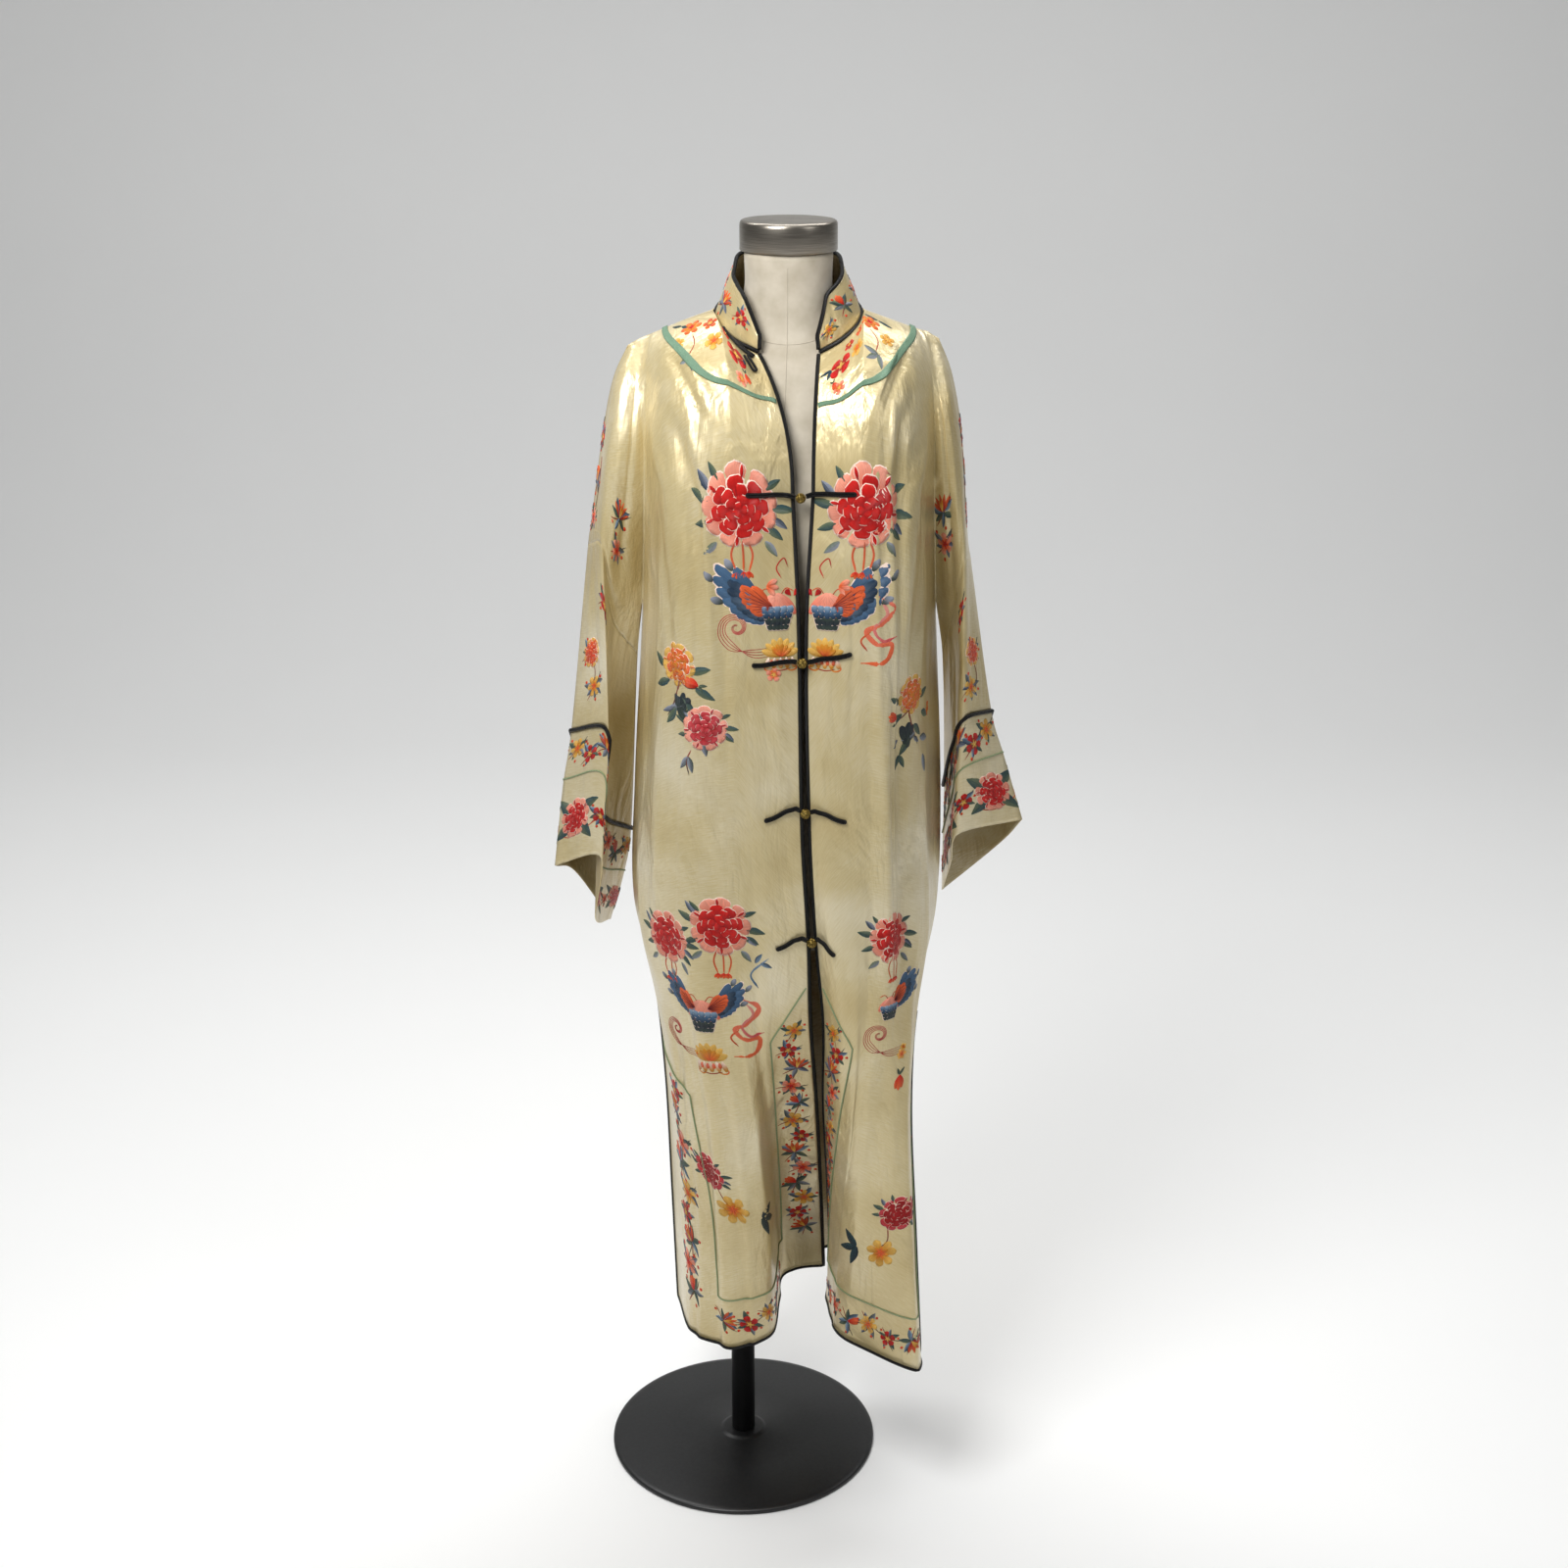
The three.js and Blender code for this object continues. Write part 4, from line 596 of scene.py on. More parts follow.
def plainMaterial(name, colour, other, roughness, metallic, scale, strength, stretch=(1, 1, 1)):
    # two tones through a noise, with the same noise as a shallow bump
    material, tree, shader = newMaterial(name)
    where = addNode(tree, "ShaderNodeTexCoord").outputs["Object"]
    mapped = addNode(tree, "ShaderNodeMapping", links={"Vector": where}, Scale=stretch)
    noise = addNode(tree, "ShaderNodeTexNoise", links={"Vector": mapped.outputs["Vector"]},
                    Scale=scale, Detail=5.0)
    tree.links.new(ramp(tree, noise.outputs["Fac"], [(0.3, colour), (0.7, other)]),
                   shader.inputs["Base Color"])
    shader.inputs["Roughness"].default_value = roughness
    shader.inputs["Metallic"].default_value = metallic
    bump = addNode(tree, "ShaderNodeBump", links={"Height": noise.outputs["Fac"]},
                   Strength=strength, Distance=0.0004)
    tree.links.new(bump.outputs["Normal"], shader.inputs["Normal"])
    return material


def linenMaterial():
    # plain weave of 0.7 mm threads both ways over a slow mottling
    material, tree, shader = newMaterial("undyedLinen")
    where = addNode(tree, "ShaderNodeTexCoord").outputs["Object"]
    tone = addNode(tree, "ShaderNodeTexNoise", links={"Vector": where}, Scale=40.0, Detail=6.0)
    tree.links.new(ramp(tree, tone.outputs["Fac"], [(0.3, "#A99F8C"), (0.7, "#BFB6A5")]),
                   shader.inputs["Base Color"])
    warp = addNode(tree, "ShaderNodeTexWave", {"bands_direction": "X"}, {"Vector": where},
                   Scale=450.0, Distortion=1.5)
    weft = addNode(tree, "ShaderNodeTexWave", {"bands_direction": "Z"}, {"Vector": where},
                   Scale=450.0, Distortion=1.5)
    both = addNode(tree, "ShaderNodeMath", {"operation": "MULTIPLY"},
                   {0: warp.outputs["Fac"], 1: weft.outputs["Fac"]})
    bump = addNode(tree, "ShaderNodeBump", links={"Height": both.outputs["Value"]},
                   Strength=0.35, Distance=0.0004)
    tree.links.new(bump.outputs["Normal"], shader.inputs["Normal"])
    shader.inputs["Roughness"].default_value = 0.85
    shader.inputs["Sheen Weight"].default_value = 0.2
    return material


undyedLinen = linenMaterial()
brushedSteel = plainMaterial("brushedSteel", "#7D776E", "#A39C91", 0.3, 1.0, 60.0, 0.25, (0.5, 0.5, 30))
agedBrass = plainMaterial("agedBrass", "#6E5C2C", "#B49A55", 0.36, 1.0, 700.0, 0.3)
# a darker brass for the button cores: painted shade inside the wire balls
paintedShadeBrass = plainMaterial("paintedShadeBrass", "#4A3D1E", "#6E5D30", 0.55, 0.9, 500.0, 0.3)
satinBlack = plainMaterial("satinBlackPaint", "#0E0E0F", "#1A1A1B", 0.38, 0.0, 240.0, 0.12)
print("materials made")


# cloth pieces
cloth = {"rowsPerStep": 6, "frontColumns": 84, "backColumns": 128, "sleeveColumns": 40}


def clothUv(grid):
    # distances in millimetres across and down from the first column and row
    return np.stack([runsOf(grid, 1), runsOf(grid, 0)], axis=2)


def rowsBetween(first, last):
    # the fine rows from one grid row to another
    return np.linspace(first, last, (last - first) * cloth["rowsPerStep"] + 1)


def thicken(obj, thickness):
    # thickness in millimetres, given on the inner face
    shell = obj.modifiers.new("thickness", "SOLIDIFY")
    shell.thickness, shell.offset = thickness * mm, -1
    return shell


def shellOf(name, grids, node):
    # a sheet of cloth: its faces welded and thickened inwards, with the pale lining inside
    points, uvs, faces = welded([(grid, clothUv(grid), flipped) for grid, flipped in grids])
    obj = meshOf(name, points, faces, uvs)
    own(obj, champagneSatin, "silk", node)
    obj.data.materials.append(palePongee)
    shell = thicken(obj, silkLook["thickness"])
    shell.material_offset, shell.material_offset_rim = 1, 0
    return obj


bodyRows = rowsBetween(0, gridRow["hem"])
frontShares = np.linspace(0, 1, cloth["frontColumns"] + 1)
backShares = np.linspace(0, 1, cloth["backColumns"] + 1)
sleeveShares = np.linspace(0, 1, cloth["sleeveColumns"] + 1)
fronts = {side: frontSheet(side, downOfRow(bodyRows), frontShares) for side in signOf}
for side in signOf:
    flipped = side == "right"
    upper = sleeveSheet(side, rowsBetween(0, gridRow["extension"]), sleeveShares, False)
    shellOf("robe_front_" + side, [(fronts[side], flipped), (upper, flipped)],
                                      "front_" + side)
    for part, first, last in (("sleeve_", "extension", "cuff"), ("cuff_", "cuff", "sleeveEnd")):
        rows = rowsBetween(gridRow[first], gridRow[last])
        shellOf("robe_" + part + side, [
            (sleeveSheet(side, rows, sleeveShares, False), flipped),
            (sleeveSheet(side, rows, sleeveShares, True), not flipped)], part + side)
backGrid = backSheet(downOfRow(bodyRows), backShares)
backParts = [(backGrid, False)]
for side in signOf:
    upper = sleeveSheet(side, rowsBetween(0, gridRow["extension"]), sleeveShares, True)
    backParts.append((upper, side == "left"))
shellOf("robe_back", backParts, "back")


# cords and ribbons: a section carried along a path
def normalsOf(grid):
    # the normal at each point of a grid
    across = np.gradient(grid, axis=1)
    down = np.gradient(grid, axis=0)
    normals = np.cross(across, down)
    return normals / np.maximum(np.linalg.norm(normals, axis=2, keepdims=True), 1e-9)


def unit(v):
    # vectors brought to length one
    return v / np.maximum(np.linalg.norm(v, axis=-1, keepdims=True), 1e-9)


def cordMesh(path, ups, radius, sides=10, closed=False, taper=0):
    # rings round the path, up given at each stop; the ends are rounded off over taper stops
    path, ups = np.asarray(path, float), np.asarray(ups, float)
    along = unit(np.roll(path, -1, axis=0) - np.roll(path, 1, axis=0) if closed
                 else np.gradient(path, axis=0))
    ups = unit(ups - along * np.sum(ups * along, axis=1, keepdims=True))
    wide = np.cross(along, ups)
    angle = np.linspace(0, 2 * np.pi, sides, endpoint=False)
    size = np.full(len(path), radius, float)
    if taper and not closed:
        rise = np.sqrt(np.clip(1 - (1 - np.arange(1, taper + 1) / taper)**2, 0.02, 1))
        size[:taper] *= rise
        size[-taper:] *= rise[::-1]
    ring = path[:, None] + size[:, None, None] * (
        ups[:, None] * np.cos(angle)[None, :, None] + wide[:, None] * np.sin(angle)[None, :, None])
    run = runOf(path)
    uv = np.stack(np.broadcast_arrays(angle[None, :] * radius, (run * 1.0)[:, None]), axis=2)
    points, uvs = ring.reshape(-1, 3), uv.reshape(-1, 2)
    if closed:
        return points, uvs, gridFaces(len(path), sides, closedRows=True, closedColumns=True)
    points = np.concatenate([points, path[:1], path[-1:]])
    return points, np.concatenate([uvs, uvs[:1], uvs[-1:]]), tubeFaces(len(path), sides)


def joined(parts):
    # several (points, uvs, faces) as one
    points, uvs, faces, start = [], [], [], 0
    for p, u, f in parts:
        points.append(p)
        uvs.append(u)
        faces.append(f + start)
        start += len(p)
    return np.concatenate(points), np.concatenate(uvs), np.concatenate(faces)


def evenly(path, ups, spacing):
    # the path and its normals read again at even steps
    run = runOf(path)
    at = np.linspace(0, run[-1], max(3, int(run[-1] / spacing) + 1))
    pick = lambda v: np.stack([np.interp(at, run, v[:, k]) for k in range(3)], axis=1)
    return pick(path), unit(pick(ups))


piping = {"radius": pipeRadius, "overlap": 0.9, "spacing": 4.0, "depth": 0.7}


def edgePath(edge, ups, inside):
    # piping sits beyond the cloth's edge in the cloth's own plane; inside points into the cloth
    along = unit(np.gradient(edge, axis=0))
    out = np.cross(along, ups)
    out = unit(out) * -np.sign(np.sum(out * inside, axis=1, keepdims=True))
    return edge + out * (piping["radius"] - piping["overlap"]) - ups * piping["depth"]


def borderOf(grid, facing, first, slitRow):
    # a panel's first edge from a row down, its hem and its slit edge as one path, with the outward normals
    normals = normalsOf(grid) * facing
    last = grid.shape[0] - 1
    stops = [(grid[first:, 0], normals[first:, 0], (grid[:, 3] - grid[:, 0])[first:]),
             (grid[last, 1:], normals[last, 1:], grid[last - 3, 1:] - grid[last, 1:]),
             (grid[last - 1:slitRow:-1, -1], normals[last - 1:slitRow:-1, -1],
              (grid[:, -4] - grid[:, -1])[last - 1:slitRow:-1])]
    return [np.concatenate(part) for part in zip(*stops)]


def pipingPiece(name, path, ups, node, radius=piping["radius"]):
    # one length of black piping
    path, ups = evenly(path, ups, piping["spacing"])
    points, uvs, faces = cordMesh(path, ups, radius)
    return own(meshOf(name, points, faces, uvs), blackBias, "black_silk", node)


slitIndex = gridRow["slit"] * cloth["rowsPerStep"]
for side in signOf:
    edge, ups, inside = borderOf(fronts[side], facingOf[side], 0, slitIndex)
    pipingPiece("robe_piping_front_" + side, edgePath(edge, ups, inside), ups, "piping_front_" + side)
edge, ups, inside = borderOf(backGrid, 1, slitIndex, slitIndex)
pipingPiece("robe_piping_back", edgePath(edge, ups, inside), ups, "piping_back")
print("panel piping made")


# neckline, collar and cuffs
collar = {"height": 48.0, "end": 14.0, "curve": 38.0, "foot": 2.6, "offset": 2.9, "rows": 20}
collarLeans = {"left": [(0, 0.08), (30, 0.17), (60, 0.36), (92, 0.42), (190, 0.12)],
               "right": [(0, 0.22), (30, 0.4), (60, 0.42), (92, 0.42), (190, 0.12)]}


def topEdge(side):
    # a panel's neck edge, its normals, and the way into the cloth
    if side == "back":
        across = np.linspace(backShoulderPart, 1 - backShoulderPart, 81)
        pair = backSheet([0, 0.02], across)
        flip = 1
    else:
        across = np.linspace(0, neckPart, 49)
        pair = frontSheet(side, [0, 0.02], across)
        flip = facingOf[side]
    normals = unit(np.cross(np.gradient(pair[0], axis=0), pair[1] - pair[0])) * flip
    return pair[0], normals, pair[1] - pair[0]


left, back, right = topEdge("left"), topEdge("back"), topEdge("right")
neckEdge, neckUps, neckInside = [np.concatenate([left[k], back[k][1:-1], right[k][::-1]]) for k in range(3)]
# the normals turn slowly where the fronts meet the back
kernel = np.hanning(15) / np.hanning(15).sum()
spreadOut = lambda v: np.stack([np.convolve(np.pad(v[:, k], 7, mode="edge"), kernel, "valid")
                                for k in range(3)], axis=1)
neckUps = unit(spreadOut(neckUps))
along = unit(np.gradient(neckEdge, axis=0))
out = unit(np.cross(along, neckUps))
out *= -np.sign(np.sum(out * neckInside, axis=1, keepdims=True))
neckPath = spreadOut(neckEdge + unit(spreadOut(out)) * collar["offset"])
neckPath, neckUps = evenly(neckPath, neckUps, 1.6)
pipingPiece("robe_piping_neckline", neckPath, neckUps, "piping_neckline", 2.7)

run = runOf(neckPath)
place = np.minimum(run, run[-1] - run)
rounded = np.sin(np.pi / 2 * np.minimum(1, place / collar["curve"]))
height = collar["end"] + (collar["height"] - collar["end"]) * rounded
leans = [np.interp(place, *np.array(collarLeans[side]).T) for side in ("left", "right")]
half = smooth((np.arange(len(run)) / len(run) - 0.45) / 0.1)
lean = leans[0] * (1 - half) + leans[1] * half
rise = unit(neckPath * (-1, -0.9, 0)) * np.sin(lean)[:, None] + (0, 0, 1) * np.cos(lean)[:, None]
v = np.linspace(1, 0, collar["rows"])
bulge = 0.9 * np.sin(np.pi * v)[:, None, None] * unit(neckPath * (1, 1, 0))[None]
collarGrid = neckPath[None] + rise[None] * (collar["foot"] + height[None] * v[:, None])[..., None] + bulge
shellOf("robe_collar", [(collarGrid, False)], "collar")
collarNormals = normalsOf(collarGrid)
edge = np.concatenate([collarGrid[::-1, 0], collarGrid[0, 1:], collarGrid[1:, -1]])
ups = np.concatenate([collarNormals[::-1, 0], collarNormals[0, 1:], collarNormals[1:, -1]])
inside = np.concatenate([(collarGrid[:, 3] - collarGrid[:, 0])[::-1], (collarGrid[2] - collarGrid[0])[1:],
                         (collarGrid[:, -4] - collarGrid[:, -1])[1:]])
collarEdge = edgePath(edge, ups, inside)
turn = unit(spreadOut(ups))
pipingPiece("robe_piping_collar", collarEdge, turn, "piping_collar")


def sleeveLoop(side, row, lift):
    # one ring round the sleeve at a row, on the cloth's outer face
    shares = np.linspace(0, 1, 41)
    near = [row, row + 0.15]
    front, behind = sleeveSheet(side, near, shares, False), sleeveSheet(side, near, shares, True)
    loop = np.concatenate([front[:, :-1], behind[:, :0:-1]], axis=1)
    normals = unit(np.cross(loop[1] - loop[0], np.roll(loop[0], -1, axis=0) - np.roll(loop[0], 1, axis=0)))
    middle = loop[0].mean(axis=0)
    normals *= np.sign(np.sum(normals * (loop[0] - middle), axis=1).mean())
    return loop[0] + normals * lift, normals


def closedCord(name, path, ups, radius, material, slotName, *nodes, sides=10):
    # a cord laid as a ring, like those round the sleeves
    path, ups = np.concatenate([path, path[:1]]), np.concatenate([ups, ups[:1]])
    path, ups = evenly(path, ups, 3.0)
    points, uvs, faces = cordMesh(path[:-1], ups[:-1], radius, sides, True)
    return own(meshOf(name, points, faces, uvs), material, slotName, *nodes)


cuffCords = {"greenRow": 19.7, "seamLift": 1.4, "greenLift": 0.6, "greenRadius": 0.95}
for side in signOf:
    path, ups = sleeveLoop(side, gridRow["cuff"], cuffCords["seamLift"])
    closedCord("robe_piping_cuff_" + side, path, ups, pipeRadius, blackBias, "black_silk",
               "piping_cuff_" + side)
    path, ups = sleeveLoop(side, cuffCords["greenRow"], cuffCords["greenLift"])
    closedCord("robe_green_cord_cuff_" + side, path, ups, cuffCords["greenRadius"],
               greenCord, "green_ribbon", sides=8)
print("collar and cuffs made")


# flat maps: millimetres across and down a panel, for all that is sewn on it
mapStep = 3.0


def flatMap(grid, downAt, facing):
    # each row is measured along the cloth and read again at equal lengths
    length = runsOf(grid, 1)
    at = np.arange(0, length[:, -1].max() + mapStep, mapStep)
    points = np.stack([np.stack([np.interp(at, run, row[:, k]) for k in range(3)], axis=1)
                       for run, row in zip(length, grid)])
    normals = normalsOf(grid) * facing
    normals = unit(np.stack([np.stack([np.interp(at, run, row[:, k]) for k in range(3)], axis=1)
                             for run, row in zip(length, normals)]))
    return {"points": points, "normals": normals, "down": downAt, "length": length[:, -1]}


def onMap(flat, u, v, lift):
    # bilinear reading of the map's points and normals
    i = np.clip(np.interp(v, flat["down"], np.arange(len(flat["down"]))), 0, len(flat["down"]) - 1.001)
    j = np.clip(u / mapStep, 0, flat["points"].shape[1] - 1.001)
    i0, j0 = i.astype(int), j.astype(int)
    a, b = (i - i0)[..., None], (j - j0)[..., None]
    read = lambda g: ((1 - a) * (1 - b) * g[i0, j0] + (1 - a) * b * g[i0, j0 + 1]
                      + a * (1 - b) * g[i0 + 1, j0] + a * b * g[i0 + 1, j0 + 1])
    normal = unit(read(flat["normals"]))
    return read(flat["points"]) + normal * np.asarray(lift)[..., None], normal


def widthAt(name, v):
    # a panel's width along the cloth at a place down its flat map
    return float(np.interp(v, maps[name]["down"], maps[name]["length"]))


mapDowns = np.concatenate([np.linspace(0, 0.98, 42), downOfZ(np.arange(chestZ, hemZ - 0.1, -5.0)), [2.0]])
mapPlaces = np.where(mapDowns < 1, -(1 - mapDowns) * 190, (mapDowns - 1) * (chestZ - hemZ))
maps = {}
for side in signOf:
    maps["front_" + side] = flatMap(frontSheet(side, mapDowns, np.linspace(0, 1, 241)), mapPlaces,
                                    facingOf[side])
    mapRows = np.linspace(0, gridRow["sleeveEnd"], 139)
    for behind in (False, True):
        grid = sleeveSheet(side, mapRows, np.linspace(1, 0, 121), behind)
        run = runOf(grid[:, 0])
        maps[("sleeve_back_" if behind else "sleeve_front_") + side] = flatMap(
            grid, run, -1 if (side == "left") != behind else 1)
maps["back"] = flatMap(backSheet(mapDowns, np.linspace(0, 1, 361)), mapPlaces, 1)
collarAcross = runOf(neckPath)
maps["collar"] = flatMap(collarGrid, np.linspace(0, collar["height"], collar["rows"]), 1)
print("flat maps made")


# yoke ribbon, frogs and buttons
yoke = {"radius": 136.0, "width": 5.6, "dip": 22.0, "start": 15.5, "thickness": 0.5,
        "lift": 1.5, "pucker": 0.28}


def ribbonLine(name, degrees, half):
    # the column whose top lies r sin(angle) out, then r cos(angle) less the top's own setback down it
    forward = np.clip((90 - degrees) / (90 - yoke["start"]), 0, 1)
    dip = 0 if name == "back" else yoke["dip"] * np.sin(np.pi * forward**2.4)**2
    radius = yoke["radius"] + half * yoke["width"] + dip
    places, downs = np.linspace(0, 1, 161), np.linspace(0, 1.3, 120)
    grid = backSheet(downs, places) if name == "back" else frontSheet(name, downs, places)
    normals = normalsOf(grid) * (-1 if name == "right" else 1)
    run = runsOf(grid, 0)
    across, deep = radius * np.sin(np.radians(degrees)), radius * np.abs(np.cos(np.radians(degrees)))
    top = grid[0, :, 0] * (-1 if name == "left" else 1)
    column = np.clip(np.interp(across, top, np.arange(161)), 0, 159.999)
    first, share = column.astype(int), (column % 1)[:, None]
    found = []
    for j in (first, first + 1):
        row = np.array([np.interp(max(0, d - abs(grid[0, k, 1])), run[:, k], np.arange(120))
                        for k, d in zip(j, deep)])
        i, t = row.astype(int), (row % 1)[:, None]
        found.append([(1 - t) * g[i, j] + t * g[np.minimum(i + 1, 119), j] for g in (grid, normals)])
    return [(1 - share) * found[0][k] + share * found[1][k] for k in range(2)]


def ribbonRow(half):
    # one line along the yoke ribbon, from front edge to front edge
    forwards = np.linspace(yoke["start"], 90, 60)
    parts = [ribbonLine("left", forwards, half), ribbonLine("back", np.linspace(-90, 90, 121)[1:-1], half),
             ribbonLine("right", forwards[::-1], half)]
    return [np.concatenate([part[k] for part in parts]) for k in range(2)]


halves = np.linspace(-0.5, 0.5, 7)
rows = [ribbonRow(h) for h in halves]
line, ups = np.stack([r[0] for r in rows]), np.stack([r[1] for r in rows])
wide = np.array([spreadOut(unit(row)) for row in ups])
run = runOf(line[3])
# the ribbon puckers a little, most along its inner edge
wave = np.sin(run / 2.6 + 1.7 * np.sin(run / 31))[None, :]
lift = yoke["lift"] + yoke["pucker"] * wave * (0.4 + (halves[:, None] < 0))
ribbonGrid = line + unit(wide) * lift[..., None]
uv = np.stack(np.broadcast_arrays(halves[:, None] * yoke["width"], run[None, :]), axis=2)
obj = own(meshOf("robe_yoke_ribbon", ribbonGrid.reshape(-1, 3), gridFaces(*ribbonGrid.shape[:2]),
                 uv.reshape(-1, 2)),
          sageRibbon, "green_ribbon", "yoke_ribbon")
thicken(obj, yoke["thickness"])

# ball, then the inner and outer end of each arm, as distance across and height on the front
frog = {"radius": 1.5, "gap": 1.35, "ball": 5.6, "touch": 0.3, "pipeTop": 1.5}
frogs = [((13, 1279), ((-2, 1282), (-44, 1286)), ((26, 1283), (71, 1292))),
         ((15, 1096), ((4, 1098), (-38, 1094)), ((27, 1098), (67, 1107))),
         ((19, 920), ((8, 926), (-25, 912)), ((32, 924), (63, 913))),
         ((27, 760), ((15, 766), (-12, 753)), ((37, 766), (52, 750)))]


def doubleCord(centre, ups, gap, radius):
    # out along one side of a line, round its end and back along the other side
    centre, ups = evenly(centre, ups, 1.2)
    along = unit(np.gradient(centre, axis=0))
    wide = unit(np.cross(along, ups))
    turn = np.linspace(np.pi / 2, -np.pi / 2, 11)[1:-1, None]
    end = centre[-1] + gap * (np.sin(turn) * wide[-1] + np.cos(turn) * along[-1])
    path = np.concatenate([centre + wide * gap, end, (centre - wide * gap)[::-1]])
    return cordMesh(path, np.concatenate([ups, np.tile(ups[-1], (len(end), 1)), ups[::-1]]),
                    radius, 10, taper=3)


def frogArm(side, near, far, centre):
    # one arm of a frog, laid on the front from the ball to its far end
    t = np.linspace(0, 1, 25)
    x, z = near[0] + (far[0] - near[0]) * t, near[1] + (far[1] - near[1]) * t + 0.8 * np.sin(2 * np.pi * t)
    across = np.linspace(0, 0.7, 141)
    grid = frontSheet(side, downOfZ(z), across)
    at = np.array([np.interp(px, *(pair if pair[0][0] < pair[0][-1] else (pair[0][::-1], pair[1][::-1])))
                   for px, pair in zip(x, ((row[:, 0], across) for row in grid))])
    points = np.array([[np.interp(a, across, row[:, k]) for k in range(3)] for a, row in zip(at, grid)])
    ahead = np.array([[np.interp(a + 0.02, across, row[:, k]) for k in range(3)] for a, row in zip(at, grid)])
    ups = unit(np.cross(ahead - points, (0, 0, -1.0)) * facingOf[side])
    ups *= np.where(ups[:, 1:2] > 0, -1, 1)
    over = (frog["pipeTop"] + 1.2) * (1 - smooth((t - 0.1) / 0.3))
    line = points + ups * (frog["radius"] + frog["touch"] + over)[:, None]
    start = centre + unit(line[0] - centre) * (frog["ball"] + 0.4)
    return doubleCord(np.concatenate([[start], line]), np.concatenate([[(0, -1.0, 0)], ups]),
                      frog["gap"], frog["radius"])


def filigreeBall(centre, turned):
    # wire rings round the twelve corners of an icosahedron, a grain in each, over a dark core whose darker
    # brass is painted shade inside the ball
    g = (1 + 5**0.5) / 2
    corners = unit(np.array([(a, b * g, 0) for a in (-1, 1) for b in (-1, 1)]
                            + [(0, a, b * g) for a in (-1, 1) for b in (-1, 1)]
                            + [(b * g, 0, a) for a in (-1, 1) for b in (-1, 1)], float))
    c, k = math.cos(turned), math.sin(turned)
    corners = corners @ np.array([(c, -k, 0), (k, c, 0), (0, 0, 1)])
    angle = np.linspace(0, 2 * np.pi, 26, endpoint=False)[:, None]
    parts = []
    for axis in corners:
        first = unit(np.cross(axis, (0.3, 0.5, 0.8)))
        second = np.cross(axis, first)
        for spread, wire in ((0.56, 0.42), (0.3, 0.3)):
            ring = unit(axis + spread * (first * np.cos(angle) + second * np.sin(angle)))
            parts.append(cordMesh(centre + ring * (frog["ball"] - wire), ring, wire, 6, True))
        grain = np.linspace(frog["ball"] - 1.1, frog["ball"] + 0.1, 5)
        parts.append(cordMesh(centre + axis * grain[:, None], np.tile(first, (5, 1)), 0.55, 6, taper=2))
    return joined(parts)


for number, (ball, left, right) in enumerate(frogs, 1):
    edges = [frontSheet(side, [downOfZ(ball[1])], [0])[0, 0] for side in signOf]
    centre = np.array([ball[0], min(e[1] for e in edges) - frog["pipeTop"] - frog["ball"] + 0.8, ball[1]])
    own(meshOf("button_wires_%d" % number, *[filigreeBall(centre, number * 0.7)[k] for k in (0, 2)]),
        agedBrass, "brass", "button_%d" % number)
    # the core: a sphere of darker brass, painted shade seen between the wires
    angle, level = np.linspace(0, 2 * np.pi, 24, endpoint=False), np.linspace(-1, 1, 13)[1:-1]
    core = np.stack(np.broadcast_arrays(np.sqrt(1 - level[:, None]**2) * np.cos(angle),
                                        np.sqrt(1 - level[:, None]**2) * np.sin(angle),
                                        level[:, None]), axis=2) * (frog["ball"] - 0.8) + centre
    points = np.concatenate([core.reshape(-1, 3),
                             [centre - (0, 0, frog["ball"] - 0.8), centre + (0, 0, frog["ball"] - 0.8)]])
    own(meshOf("button_core_%d" % number, points, tubeFaces(11, 24)), paintedShadeBrass, "brass")
    for side, ends in (("left", left), ("right", right)):
        points, uvs, faces = frogArm(side, *ends, centre)
        own(meshOf("robe_frog_%d_%s" % (number, side), points, faces, uvs), blackBias,
            "black_silk", "frog_%d_%s" % (number, side))

# the unfastened frog under the collar, on the left front
neckFrog = {"bar": [(0.05, 0.1), (0.13, 0.095), (0.2, 0.09), (0.28, 0.09)],
            "loop": [(0.14, 0.2), (0.125, 0.245), (0.11, 0.29)]}
for piece, gap in (("bar", 1.35), ("loop", 2.3)):
    stops = np.array(neckFrog[piece])
    t = np.linspace(0, 1, 15) * (len(stops) - 1)
    across, down = [np.interp(t, np.arange(len(stops)), stops[:, k]) for k in range(2)]
    read = lambda da, dd: np.array([frontSheet("left", [d + dd], [a + da])[0, 0]
                                    for a, d in zip(across, down)])
    ups = unit(np.cross(read(0.02, 0) - read(-0.02, 0), read(0, 0.02) - read(0, -0.02)))
    line = read(0, 0) + ups * (frog["radius"] + frog["touch"] + (0.9 if piece == "loop" else 0))
    points, uvs, faces = doubleCord(line, ups, gap, frog["radius"])
    own(meshOf("robe_frog_neck_" + piece, points, faces, uvs), blackBias, "black_silk", "frog_neck_" + piece)
print("ribbon, frogs and buttons made")


# embroidery: every stitch group is drawn in millimetres on a panel's flat map
dye = {"salmon": "#E2745C", "peach": "#EE9C84", "pale": "#F6DDCD", "red": "#CC1A14", "deepRed": "#9C0D10",
       "pink": "#E79A8C", "rose": "#C8434A", "coral": "#E0602F", "gold": "#D08A26", "straw": "#E6B659",
       "brick": "#B4492E", "maroon": "#6E1F22", "navy": "#22364B", "blue": "#41607F", "sky": "#87A0B6",
       "teal": "#27464D", "pine": "#37433C", "moss": "#626E54", "grey": "#8E93A0", "stem": "#A0392B",
       "ink": "#262E36"}
ink = {name: np.array(linear(colour)) for name, colour in dye.items()}
stitchWork = {name: [] for name in maps}
needle = np.random.default_rng(7)
along8 = np.array([0, 0.06, 0.25, 0.45, 0.65, 0.82, 0.94, 1.0])
across5 = np.array([-1, -0.82, 0, 0.82, 1.0])


